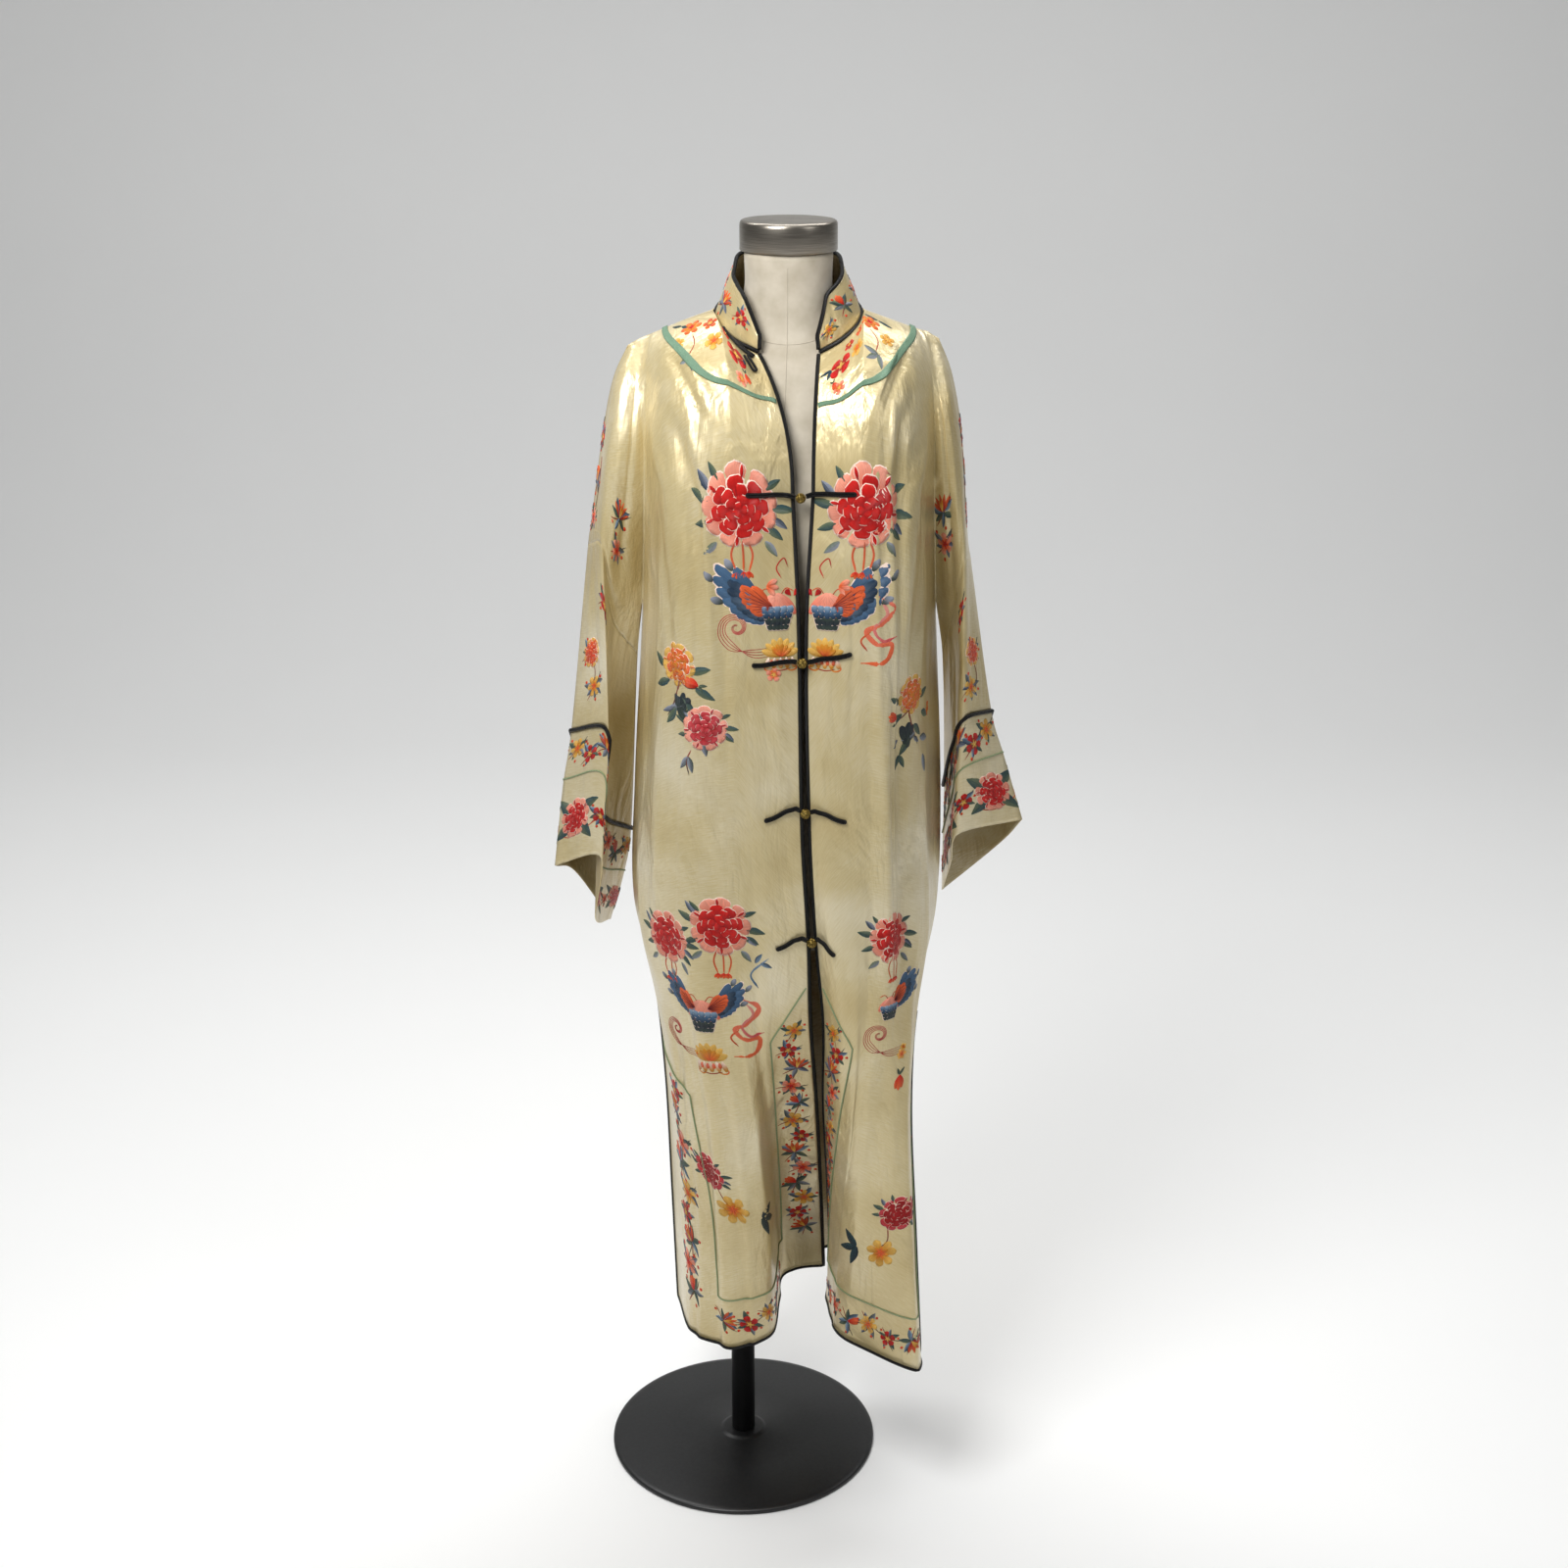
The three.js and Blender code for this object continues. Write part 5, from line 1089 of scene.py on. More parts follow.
def pen(name, u, v, flip, turn=0.0, size=1.0):
    # where a drawing stands on a flat map, how it is turned and how large it is
    return {"map": name, "u": u, "v": v, "flip": flip, "turn": math.radians(turn), "size": size}


def moved(at, x, y, turn=0.0):
    # the same pen put down at another place of its own drawing
    c, s = math.cos(at["turn"]), math.sin(at["turn"])
    return {**at, "u": at["u"] + at["flip"] * at["size"] * (x * c - y * s),
            "v": at["v"] + at["size"] * (x * s + y * c),
            "turn": at["turn"] + math.radians(turn)}


def sew(at, x, y, lift, uv, colour, rows, columns, shapes):
    # drawing to panel: turned, scaled, mirrored if the panel runs the other way, then read from the map
    c, s = math.cos(at["turn"]) * at["size"], math.sin(at["turn"]) * at["size"]
    points, _ = onMap(maps[at["map"]], at["u"] + at["flip"] * (x * c - y * s), at["v"] + x * s + y * c, lift)
    starts = (np.arange(shapes) * rows * columns)[:, None, None]
    faces = (gridFaces(rows, columns)[None] + starts).reshape(-1, 4)
    stitchWork[at["map"]].append((points.reshape(-1, 3), uv.reshape(-1, 2), colour.reshape(-1, 3), faces))


def petals(at, x, y, angle, length, width, base, tip, peak=0.6, blunt=0.7, bend=0.0, lobes=0.0, lift=0.3,
           lay="along"):
    # width along the petal is sin(pi * s^p)^blunt, p set so that it is widest at peak
    x, y, angle, length, width, bend = [np.atleast_1d(np.asarray(v, float))
                                        for v in (x, y, angle, length, width, bend)]
    n = max(len(v) for v in (x, y, angle, length, width, bend))
    x, y, angle, length, width, bend = [np.broadcast_to(v, n)[:, None, None]
                                        for v in (x, y, angle, length, width, bend)]
    angle = np.radians(angle)
    s, t = along8[None, :, None], across5[None, None, :]
    profile = np.maximum(np.sin(np.pi * s**(math.log(0.5) / math.log(peak))), 0)**blunt
    notch = 1 - lobes * np.sin(1.5 * np.pi * t)**2 * smooth((s - 0.5) / 0.5)
    lx = length * s * notch
    ly = t * width / 2 * np.maximum(profile, 0.05) + bend * length * s**2
    rim = (1 - np.abs(t)**12) * smooth(s / 0.05) * smooth((1 - s) / 0.05)
    height = -0.2 + (lift + 0.2 + 0.35 * (1 - t**2)) * rim
    c, k = np.cos(angle), np.sin(angle)
    if lay == "split":
        uv = np.stack(np.broadcast_arrays(t * width, s * length * 0.8 + np.abs(t) * width * 0.45), axis=3)
        share = np.broadcast_to((t > 0) * 1.0 - (t == 0) * -0.5, lx.shape)
    else:
        uv = np.stack(np.broadcast_arrays(lx + 0 * t, t * width / 2 + 0 * s), axis=3)
        share = np.broadcast_to(smooth(s * 1.15 - 0.05), lx.shape)
    share = np.clip(share[..., None] + needle.uniform(-0.12, 0.12, (n, 1, 1, 1)), 0, 1)
    colour = (ink[base] * (1 - share) + ink[tip] * share) * needle.uniform(0.88, 1.1, (n, 1, 1, 1))
    sew(at, x + lx * c - ly * k, y + lx * k + ly * c, np.broadcast_to(height, lx.shape),
        uv + needle.uniform(0, 50), colour, 8, 5, n)


def strand(at, path, width, colour, other=None, lift=0.35):
    # a line of satin stitch along a smooth path
    path = np.array(path, float)
    stops = np.concatenate([path, 0 * path[:, :1]], axis=1)[None]
    line = alongStations(stops, np.linspace(0, 1, 7 * (len(path) - 1) + 1))[0, :, :2]
    way = unit(np.gradient(line, axis=0))
    side = np.stack([-way[:, 1], way[:, 0]], axis=1)
    run = runOf(line)
    part = run / run[-1]
    wide = width / 2 * np.clip(np.minimum(part, 1 - part) / 0.12, 0.25, 1)
    t = np.array([-1, 0, 1.0])[None, :]
    xy = line[:, None] + side[:, None] * (wide[:, None] * t)[..., None]
    height = np.broadcast_to(-0.15 + (lift + 0.35) * (1 - t**2), xy.shape[:2])
    uv = np.stack(np.broadcast_arrays(t * width, run[:, None] + 0.3 * width * t), axis=2)
    share = part[:, None, None] * (1 if other else 0)
    colours = np.broadcast_to(ink[colour] * (1 - share) + ink[other or colour] * share, (*xy.shape[:2], 3))
    sew(at, xy[..., 0], xy[..., 1], height, uv, colours, len(line), 3, 1)


def ring(n, start=0.0):
    # n angles round a circle, each a little off
    return start + np.arange(n) * 360 / n + needle.uniform(-4, 4, n)


def onRing(angles, radius):
    # the points at these angles
    return radius * np.cos(np.radians(angles)), radius * np.sin(np.radians(angles))


def leaf(at, x, y, angle, length, base="teal", tip="moss", bend=0.1):
    # a leaf in two tones with a vein
    petals(at, x, y, angle, length, np.asarray(length, float) * 0.42, base, tip,
           0.42, 0.85, bend, lift=0.15, lay="split")
    petals(at, x, y, angle, np.asarray(length, float) * 0.92, 0.7, tip, base, 0.5, 0.5, bend, lift=0.45)


def blossom(at, radius, outer="peach", inner="coral", heart="straw", count=5):
    # a small open flower: outer petals, inner petals and a heart
    a = ring(count, needle.uniform(0, 70))
    petals(at, *onRing(a, radius * 0.16), a, radius * 0.84, 5.6 * radius / count * 0.72,
           inner, outer, 0.66, 0.55, lobes=0.1)
    b = a + 180 / count
    petals(at, *onRing(b, radius * 0.1), b, radius * 0.42, radius * 0.26, heart, inner, 0.5, 0.8, lift=0.6)
    petals(at, *onRing(ring(4), 0), ring(4), radius * 0.2, radius * 0.18, heart, heart, 0.6, 0.5, lift=0.8)


def bud(at, length, colour="red", tip="peach"):
    # three closed petals in two small leaves
    petals(at, 0, 0, [-14, 14, 0], [length * 0.9, length * 0.9, length], length * 0.42, colour, tip, 0.5, 0.8,
           lift=np.array([0.25, 0.25, 0.5]).reshape(3, 1, 1))
    leaf(at, 0, 0, [150, 210], length * 0.5, "pine", "moss")


def peony(at, radius, outer="salmon", edge="peach", heart="red", deep="deepRed"):
    # lobed outer petals, then rings of red ones that each show a thin pale rim
    a = ring(9, needle.uniform(0, 40))
    petals(at, *onRing(a, radius * 0.44), a, radius * 0.585, radius * 0.66, "pale",
           "pale", 0.68, 0.45, lobes=0.12, lift=0.0)
    petals(at, *onRing(a, radius * 0.44), a, radius * 0.56, radius * 0.6, outer,
           edge, 0.68, 0.45, lobes=0.12, lift=0.25)
    b = ring(6, needle.uniform(0, 60))
    petals(at, *onRing(b, radius * 0.66), b, radius * 0.3, radius * 0.14, "pale", "pale", 0.5, 0.8, lift=0.5)
    petals(at, *onRing(b, radius * 0.66), b, radius * 0.28, radius * 0.11, deep, heart, 0.5, 0.8, lift=0.65)
    for count, start, length, width, lift in ((8, 0.34, 0.42, 0.53, 0.5), (7, 0.2, 0.4, 0.46, 0.72),
                                              (5, 0.05, 0.36, 0.44, 0.94), (3, -0.05, 0.27, 0.36, 1.16)):
        c = ring(count, needle.uniform(0, 60))
        petals(at, *onRing(c, radius * start), c, radius * length, radius * width,
               "pale", "pale", 0.62, 0.45, lift=lift)
        petals(at, *onRing(c, radius * start), c, radius * (length - 0.016), radius * (width - 0.034),
               deep, heart, 0.62, 0.45, lift=lift + 0.16)


def peonySpray(at, radius, stems=True, **colours):
    # a peony with its leaves, and with stems and buds under it if asked
    around = np.array([158, 190, 226, -30, 4, 30]) + needle.uniform(-7, 7, 6)
    leaf(at, *onRing(around, radius * 0.8), around, radius * np.array([0.56, 0.66, 0.44, 0.46, 0.64, 0.56]),
         "teal", "moss")
    leaf(at, *onRing(around[1::3] + 16, radius * 0.84), around[1::3] + 30, radius * np.array([0.52, 0.5]),
         "navy", "grey")
    if stems:
        leaf(at, [-radius * 0.62, radius * 0.6], radius * 0.82, [135, 48], radius * 0.52, "grey", "moss")
        for x in (-0.16, 0.02, 0.16):
            strand(at, [(x * radius, radius * 0.8), (x * radius * 1.7, radius * 1.15),
                        (x * radius, radius * 1.6)], radius * 0.07, "brick", "coral")
            petals(at, x * radius, radius * 1.58, [60, 95, 130], radius * 0.2, radius * 0.1,
                   "red", "coral", 0.6, 0.6)
    peony(at, radius, **colours)


def wing(at, reach, side):
    # long feathers fanned outwards, the longest upwards, with blue coverts on them and a brick shoulder
    a = np.linspace(-40, 46, 10)
    lengths = reach * np.array([0.78, 1.0, 0.94, 0.84, 0.72, 0.62, 0.54, 0.46, 0.4, 0.34])
    turn = a if side > 0 else 180 - a
    petals(at, 0, 0, turn, lengths * 1.02, reach * 0.21, "pale", "pale", 0.78, 0.6, -0.12 * side, lift=0.0)
    petals(at, 0, 0, turn, lengths, reach * 0.18, "navy", "blue", 0.78, 0.6, -0.12 * side, lift=0.35)
    petals(at, 0, 0, turn[1:] + 4 * side, lengths[1:] * 0.74, reach * 0.17, "sky",
           "navy", 0.74, 0.6, -0.1 * side, lift=0.65)
    petals(at, 0, 0, turn[:7], lengths[:7] * 0.56, reach * 0.18, "brick", "coral",
           0.66, 0.6, -0.06 * side, lift=0.95)
    petals(at, 0, 0, turn[:7], lengths[:7] * 0.5, 0.9, "maroon", "maroon", 0.5, 0.4, -0.06 * side, lift=1.25)
    tips = turn[:6:2]
    petals(at, *onRing(tips - 4 * side, lengths[:6:2] * 0.96), tips - 20 * side,
           reach * 0.2, reach * 0.12, "pine", "grey", 0.5, 0.6, lift=0.3)


def moth(at, size):
    # a round body banded in blue scallops, with a peach breast and curled feelers
    petals(at, 0, -size * 0.75, [50, 70, 90, 110, 130], size * 1.35, size * 0.55,
           "peach", "salmon", 0.5, 0.6, lift=0.7)
    for row, colour, other, lift in ((0.9, "ink", "pine", 0.6), (0.66, "pine", "ink", 0.75),
                                     (0.38, "blue", "navy", 0.9), (0.14, "sky", "blue", 1.05)):
        x = np.linspace(-0.56, 0.56, 5) * size * (1.12 - row * 0.55)
        petals(at, x, size * row - size * 0.3, 90 - x * 12 / size, size * 0.42, size * 0.42,
               "pale", "pale", 0.36, 0.42, lift=lift)
        petals(at, x, size * row - size * 0.3, 90 - x * 12 / size, size * 0.39, size * 0.38,
               colour, other, 0.36, 0.42, lift=lift + 0.15)
    for k in (-1, 1):
        strand(at, [(k * size * 0.1, -size * 0.5), (k * size * 0.45, -size * 0.95),
                    (k * size * 0.8, -size * 0.8)], 1.5, "stem", "coral")


def swirl(at, radius):
    # four nested spirals, each radius times e to the power of minus turn / 4.6, that run out to one side
    turn = np.linspace(0, 9.4, 13)
    for k in range(4):
        r = radius * (1 - 0.13 * k) * np.exp(-turn / 4.6)
        start = (-radius * 1.1 - 2 * k, radius * (0.7 + 0.16 * k))
        path = np.concatenate([[(radius * 1.5, radius * (0.85 + 0.12 * k)),
                                (radius * 0.6, radius * (0.95 + 0.1 * k))],
                               np.stack([r * np.cos(1.9 + turn), r * np.sin(1.9 + turn)], axis=1)])
        strand(at, path, 1.15, "stem", "rose", lift=0.2)
    blossom(moved(at, radius * 1.55, radius * 0.95), radius * 0.2, "straw", "gold", "coral", 5)


def lotusBowl(at, size):
    # a fan of gold petals over a bowl of pale and salmon ones with a curled foot
    a = np.linspace(-160, -20, 7)
    petals(at, 0, 0, a, size * 0.72, size * 0.3, "gold", "straw", 0.6, 0.7, lift=0.3)
    petals(at, 0, 0, a[1:-1] + 8, size * 0.5, size * 0.24, "coral", "gold", 0.6, 0.7, lift=0.6)
    x = np.linspace(-0.42, 0.42, 5) * size
    petals(at, x, 0.02 * size, 90 - x * 30 / size, size * 0.42, size * 0.2, "pale",
           "gold", 0.6, 0.5, lift=0.5)
    petals(at, x[:-1] + 0.1 * size, 0.08 * size, 90, size * 0.22, size * 0.15, "salmon",
           "coral", 0.6, 0.5, lift=0.8)
    for k in (-1, 1):
        strand(at, [(k * size * 0.2, size * 0.42), (k * size * 0.36, size * 0.52),
                    (k * size * 0.56, size * 0.46), (k * size * 0.58, size * 0.34)], 2.2, "gold", "coral")
    strand(at, [(-0.36 * size, 0.44 * size), (0, 0.5 * size), (0.36 * size, 0.44 * size)], 1.8, "stem")


def ribbonLoops(at, size):
    # three ribbons that loop over one another
    strand(at, [(0, -size), (size * 0.55, -size * 0.6), (size * 0.1, -size * 0.1), (-size * 0.35, size * 0.1),
                (0, size * 0.5), (size * 0.5, size * 0.55), (size * 0.3, size * 1.05),
                (-size * 0.5, size * 1.1)], size * 0.19, "salmon", "coral")
    strand(at, [(size * 0.1, -size * 0.86), (size * 0.32, -size * 0.4), (-size * 0.1, 0),
                (size * 0.2, size * 0.42), (size * 0.66, size * 0.3)], size * 0.13, "pink", "rose")
    strand(at, [(-size * 0.2, size * 0.1), (-size * 0.5, size * 0.4), (-size * 0.3, size * 0.72)],
           size * 0.08, "coral", "brick")


def rock(at, size):
    # a dark rock of four lobes with two leaves
    petals(at, [-0.3 * size, 0.1 * size, 0.35 * size, -0.05 * size],
           [0, -0.1 * size, 0.05 * size, 0.2 * size], [60, 95, 120, 80],
           size * np.array([0.8, 0.95, 0.75, 0.7]), size * 0.42,
           "ink", "pine", 0.5, 0.5, lift=0.3)
    leaf(at, size * np.array([-0.4, 0.4]), size * np.array([0.5, 0.55]), [150, 30],
         size * 0.5, "navy", "grey")


def midSpray(at, size, side):
    # a gold peony with a bud over a dark rock
    strand(at, [(0, 0), (-4 * side, 18), (4 * side, 40), (16 * side, 62)], 3, "stem", "pine")
    strand(at, [(4 * side, 10), (-14 * side, 24), (-30 * side, 24)], 2.4, "stem", "pine")
    leaf(at, [-20, -14, 18, 24, 6, -2], [6, 20, 8, 26, 36, 50], [200, 150, -20, 20, 40, 120],
         size * 1.0, "teal", "moss")
    leaf(at, [10, 22, 30], [46, 56, 78], [160, 10, 70], size * 1.0, "pine", "grey")
    rock(moved(at, -6 * side, 34), size * 1.3)
    peony(moved(at, 0, 0), size, "gold", "straw", "coral", "gold")
    bud(moved(at, -28 * side, 22, 200), size * 0.8, "red", "coral")


def spray(at, size, kind):
    # one sprig of a border: its flower, leaves, a berry or two and a stem
    low, high = needle.uniform(190, 235), needle.uniform(-55, -15)
    leaf(at, 0, 0, [low, high, needle.uniform(60, 120)], size * np.array([1.5, 1.4, 1.2]),
         ["teal", "navy", "pine"][kind % 3], ["moss", "sky", "grey"][kind % 3])
    leaf(at, 0, 0, [low - 45, high + 60], size * 1.25, ["grey", "moss", "navy"][kind % 3],
         ["pine", "teal", "grey"][kind % 3])
    strand(at, [(-size * 1.1, size * 0.9), (-size * 0.3, size * 0.3), (size * 0.5, -size * 0.2),
                (size * 1.2, -size * 0.9)], size * 0.13, "stem", "pine")
    petals(at, *onRing(ring(3, low + 20), size * 1.05), ring(3, low + 20), size * 0.3,
           size * 0.28, "coral", "red", 0.5, 0.5)
    if kind % 5 == 0:
        blossom(at, size * 0.95, "straw", "gold", "coral", 6)
    elif kind % 5 == 1:
        blossom(at, size * 0.92, "red", "deepRed", "straw", 5)
    elif kind % 5 == 2:
        petals(at, 0, 0, [-140, -90, -40, -115, -65], size * 1.3, size * 0.42, "deepRed", "coral", 0.45, 0.9)
        petals(at, 0, 0, [-100, -80], size * 0.9, size * 0.24, "straw", "gold", 0.5, 0.9, lift=0.6)
    elif kind % 5 == 3:
        blossom(at, size * 0.92, "peach", "coral", "red", 5)
    else:
        bud(moved(at, 0, 0, needle.uniform(-120, -60)), size * 1.3, "red", "coral")


def border(name, flip, path, spacing, size, first=0):
    # sprigs at even steps along a band's middle line, swaying from side to side on one thin stem
    path = np.array(path, float)
    run = runOf(path)
    count = max(2, int(run[-1] / spacing))
    at = (np.arange(count) + 0.5) / count * run[-1]
    u, v = np.interp(at, run, path[:, 0]), np.interp(at, run, path[:, 1])
    sway = np.where(np.arange(count) % 2 == 0, 1, -1) * size * 0.32
    way = unit(np.stack([np.interp(at + 1, run, path[:, 0]) - u, np.interp(at + 1, run, path[:, 1]) - v],
                        axis=1))
    u, v = u - way[:, 1] * sway, v + way[:, 0] * sway
    home = pen(name, u[0], v[0], flip)
    strand(home, np.stack([flip * (u - u[0]), v - v[0]], axis=1), 2.0, "stem", "pine", lift=0.15)
    for k in range(count):
        turn = needle.uniform(-40, 40) + (90 if abs(way[k, 0]) > 0.7 else 0)
        spray(pen(name, u[k], v[k], flip, turn), size * needle.uniform(0.88, 1.12), first + k)


def couched(name, points):
    # a thin green cord laid along a line of a flat map
    points, radius = np.array(points, float), cuffCords["greenRadius"]
    run = runOf(points)
    at = np.linspace(0, run[-1], int(run[-1] / 5) + 2)
    path, ups = onMap(maps[name], np.interp(at, run, points[:, 0]), np.interp(at, run, points[:, 1]),
                      radius * 0.6 + 0 * at)
    return cordMesh(path, ups, radius, 8, taper=3)


# the two fronts
def frontWork(side):
    # a front's chest group, lower group, yoke sprays, borders and green cord
    name, flip = "front_" + side, (-1 if side == "left" else 1)
    out = flip
    at = lambda u, v, turn=0.0, size=1.0: pen(name, u, v, flip, turn, size)
    peonySpray(at(58, 15), 43)
    wing(at(26, 124), 80, 1 if side == "right" else -1)
    moth(at(22, 126), 24)
    petals(at(33, 100), 0, 0, [-30, 10, 50], 14, 7, "coral", "peach", 0.6, 0.6, lift=0.9)
    petals(at(5, 112), [-1, 2], 0, [-130, -50], 9, 7, "red", "deepRed", 0.7, 0.5, lift=0.9)
    strand(at(16, 76), [(0, 16), (-5, 4), (4, -6), (8, 4)], 2, "red", "stem")
    lotusBowl(at(20, 180), 31)
    if side == "left":
        swirl(at(68, 146), 27)
        blossom(at(28, 200), 9, "peach", "coral", "straw", 5)
        midSpray(at(141, 192), 26, -1)
        peonySpray(at(106, 262), 27, False, outer="pink", edge="peach", heart="rose")
        strand(at(122, 288), [(0, 0), (-6, 14), (-3, 30)], 2.2, "stem", "pine")
        leaf(at(126, 296), 0, 0, [120, 70], 20, "pine", "grey")
    else:
        ribbonLoops(at(78, 146), 36)
        midSpray(at(138, 232), 24, 1)
        blossom(at(190, 262), 9, "coral", "gold", "red", 5)
        leaf(at(122, 300), 0, 0, [60, 110], 18, "moss", "teal")
    # lower part
    if side == "left":
        peonySpray(at(100, 500), 37)
        peonySpray(at(173, 524), 33)
        wing(at(122, 604), 56, 1)
        wing(at(136, 604), 56, -1)
        moth(at(129, 612), 24)
        lotusBowl(at(128, 674), 34)
        ribbonLoops(at(80, 628), 36)
        swirl(at(178, 646), 22)
        strand(at(60, 550), [(0, 30), (-8, 12), (4, 0), (14, -8)], 3, "blue", "sky")
        leaf(at(62, 548), [0, 6], 0, [-60, 20], 15, "navy", "sky")
        peonySpray(at(188, 832), 23, False, outer="red", edge="rose", heart="deepRed")
        blossom(at(172, 880), 21, "straw", "gold", "coral", 7)
        leaf(at(140, 894), 0, 0, [20, -30, 80], 30, "ink", "pine")
        strand(at(180, 850), [(0, 0), (4, 20), (16, 38)], 2, "stem", "pine")
    else:
        peonySpray(at(98, 515), 32)
        wing(at(98, 596), 50, 1)
        moth(at(92, 602), 17)
        swirl(at(80, 638), 23)
        petals(at(114, 668), 0, 0, ring(6), 7, 5, "coral", "straw", 0.6, 0.6)
        bud(at(116, 694, 85), 20, "red", "coral")
        peonySpray(at(165, 872), 24, False, outer="red", edge="rose", heart="deepRed")
        blossom(at(164, 930), 21, "straw", "gold", "coral", 7)
        leaf(at(130, 932), 0, 0, [150, 210, 90], 30, "ink", "teal")
        strand(at(160, 892), [(0, 0), (6, 20), (-4, 36)], 2, "stem", "pine")
    # yoke
    spots = {"left": (111, 81, 48), "right": (86, 57, 30)}[side]
    blossom(at(spots[0], -162), 12, "coral", "gold", "red", 6)
    blossom(at(spots[1], -134), 11, "straw", "gold", "coral", 5)
    blossom(at(spots[2], -134), 16, "red", "deepRed", "straw", 4)
    bud(at(spots[2] - 10, -116, 70), 12, "red", "coral")
    leaf(at(spots[0] - 4, -120), 0, 0, [200, 150, 80], 16, "grey", "moss")
    leaf(at(spots[0] + 14, -170), 0, 0, [30, 200], 15, "pine", "teal")
    leaf(at(spots[2] - 14, -140), 0, 0, [100, 170], 15, "teal", "navy")
    for k, (u, v) in enumerate([(spots[0] + 12, -140), (spots[2] + 14, -158), (spots[2] - 2, -104),
                                (spots[1] + 8, -160)]):
        blossom(at(u, v), 8.5, ["straw", "red", "peach", "coral"][k],
                ["gold", "deepRed", "coral", "brick"][k], "straw", 5)
    strand(at(spots[0] - 4, -150), [(0, 0), (4, 14), (-2, 28)], 1.6, "stem")
    # bands
    edge = lambda v: widthAt(name, v)
    border(name, flip, [(24, 628), (25, 1004)], 27, 13.5, 0)
    border(name, flip, [(60, 1046), (edge(1046) - (128 if side == "left" else 50), 1044)], 29, 13.5, 2)
    deep, big = (84, 17) if side == "left" else (22, 11)
    border(name, flip, [(edge(v) - deep, v) for v in (725, 860, 1035)], big * 2, big, 1)
    wide = 132 if side == "left" else 44
    return [couched(name, [(3, 585), (50, 655), (52, 800), (52, 1008), (edge(1008) - wide, 1010),
                           (edge(860) - wide, 860), (edge(740) - wide + 6, 735), (edge(668) - 4, 668)])]


cords = {side: frontWork(side) for side in signOf}
print("fronts embroidered")


# the back, its motifs like those of the fronts
def backWork():
    # the same kinds of groups about the back's middle, with sprays, borders and the green cord
    name, flip = "back", -1
    at = lambda u, v, turn=0.0, size=1.0: pen(name, u, v, flip, turn, size)
    middle = lambda v: widthAt(name, v) / 2
    c = middle(20)
    for k in (-1, 1):
        peonySpray(at(c - 62 * k, 15), 43)
        wing(at(c - 22 * k, 124), 80, k)
        midSpray(at(middle(230) - 140 * k, 205), 26, k)
        peonySpray(at(middle(510) - 150 * k, 505), 32)
        peonySpray(at(middle(860) - 130 * k, 850), 24, False, outer="red", edge="rose", heart="deepRed")
        blossom(at(middle(900) - 112 * k, 900), 17, "straw", "gold", "coral", 7)
        leaf(at(middle(900) - 92 * k, 906), 0, 0, [20, 160], 22, "ink", "teal")
    moth(at(c, 116), 26)
    lotusBowl(at(c, 182), 34)
    ribbonLoops(at(c - 74, 150), 36)
    swirl(at(c + 70, 148), 27)
    m = middle(560)
    peonySpray(at(m, 500), 38)
    wing(at(m + 12, 600), 54, -1)
    wing(at(m - 12, 600), 54, 1)
    moth(at(m, 606), 24)
    lotusBowl(at(m, 690), 32)
    swirl(at(m + 150, 640), 24)
    ribbonLoops(at(m - 150, 620), 34)
    length = lambda v: widthAt(name, v)
    border(name, flip, [(70, 1044), (length(1044) - 70, 1044)], 29, 13.5, 3)
    border(name, flip, [(32, 700), (32, 1040)], 28, 13, 0)
    border(name, flip, [(length(700) - 32, 700), (length(1040) - 32, 1040)], 28, 13, 2)
    for k, spot in enumerate(np.linspace(0.3, 0.7, 5)):
        spray(at(length(-160) * spot, -162), 14, k)
    return [couched(name, [(3, 668), (62, 735), (62, 1010), (length(1010) - 62, 1010),
                           (length(735) - 62, 735), (length(668) - 3, 668)])]


cords["back"] = backWork()
print("back embroidered")


# sleeves, cuffs and collar
def sleeveWork(side, behind):
    # sprays and a peony on the sleeve, then a band of sprays over the cuff's green cord and peonies under it
    name = ("sleeve_back_" if behind else "sleeve_front_") + side
    flip = 1 if (side == "left") != behind else -1
    at = lambda u, v, turn=0.0, size=1.0: pen(name, u, v, flip, turn, size)
    row = lambda r: float(np.interp(r, mapRows, maps[name]["down"]))
    for k, (u, v) in enumerate([(10, 102), (12, 155), (14, 200), (30, 365), (42, 408),
                                (70, 300), (96, 150), (110, 182)]):
        spray(at(u, v, needle.uniform(-30, 30)), 14.5, k + 1)
    peony(at(34, 366), 19, "salmon", "straw", "coral", "red")
    strand(at(24, 120), [(0, 0), (4, 30), (-6, 70)], 1.4, "stem", "pine")
    strand(at(34, 372), [(0, 0), (8, 20), (2, 44)], 1.6, "stem", "pine")
    top, mid, hem = row(gridRow["cuff"]), row(cuffCords["greenRow"]), row(gridRow["sleeveEnd"])
    reach = widthAt(name, mid) - 14
    for k, u in enumerate(np.arange(18, reach, 27)):
        spray(at(u, (top + mid) / 2 + (6 if k % 2 else -6)), 14, k + (2 if behind else 0))
    for k, u in enumerate(np.arange(30, reach - 10, 84)):
        leaf(at(u, (mid + hem) / 2), 0, 0, [needle.uniform(20, 60), 140, 215, -35], 43, "teal", "moss")
        peony(at(u, (mid + hem) / 2), 26, "coral" if k % 2 else "salmon", "peach", "red", "deepRed")
        spray(at(u + 42, (mid + hem) / 2 + 2), 13.5, k + 1)
        strand(at(u, (mid + hem) / 2), [(-30, 16), (-8, 24), (20, 18), (44, 4)],
               2.2, "stem", "coral", lift=0.1)


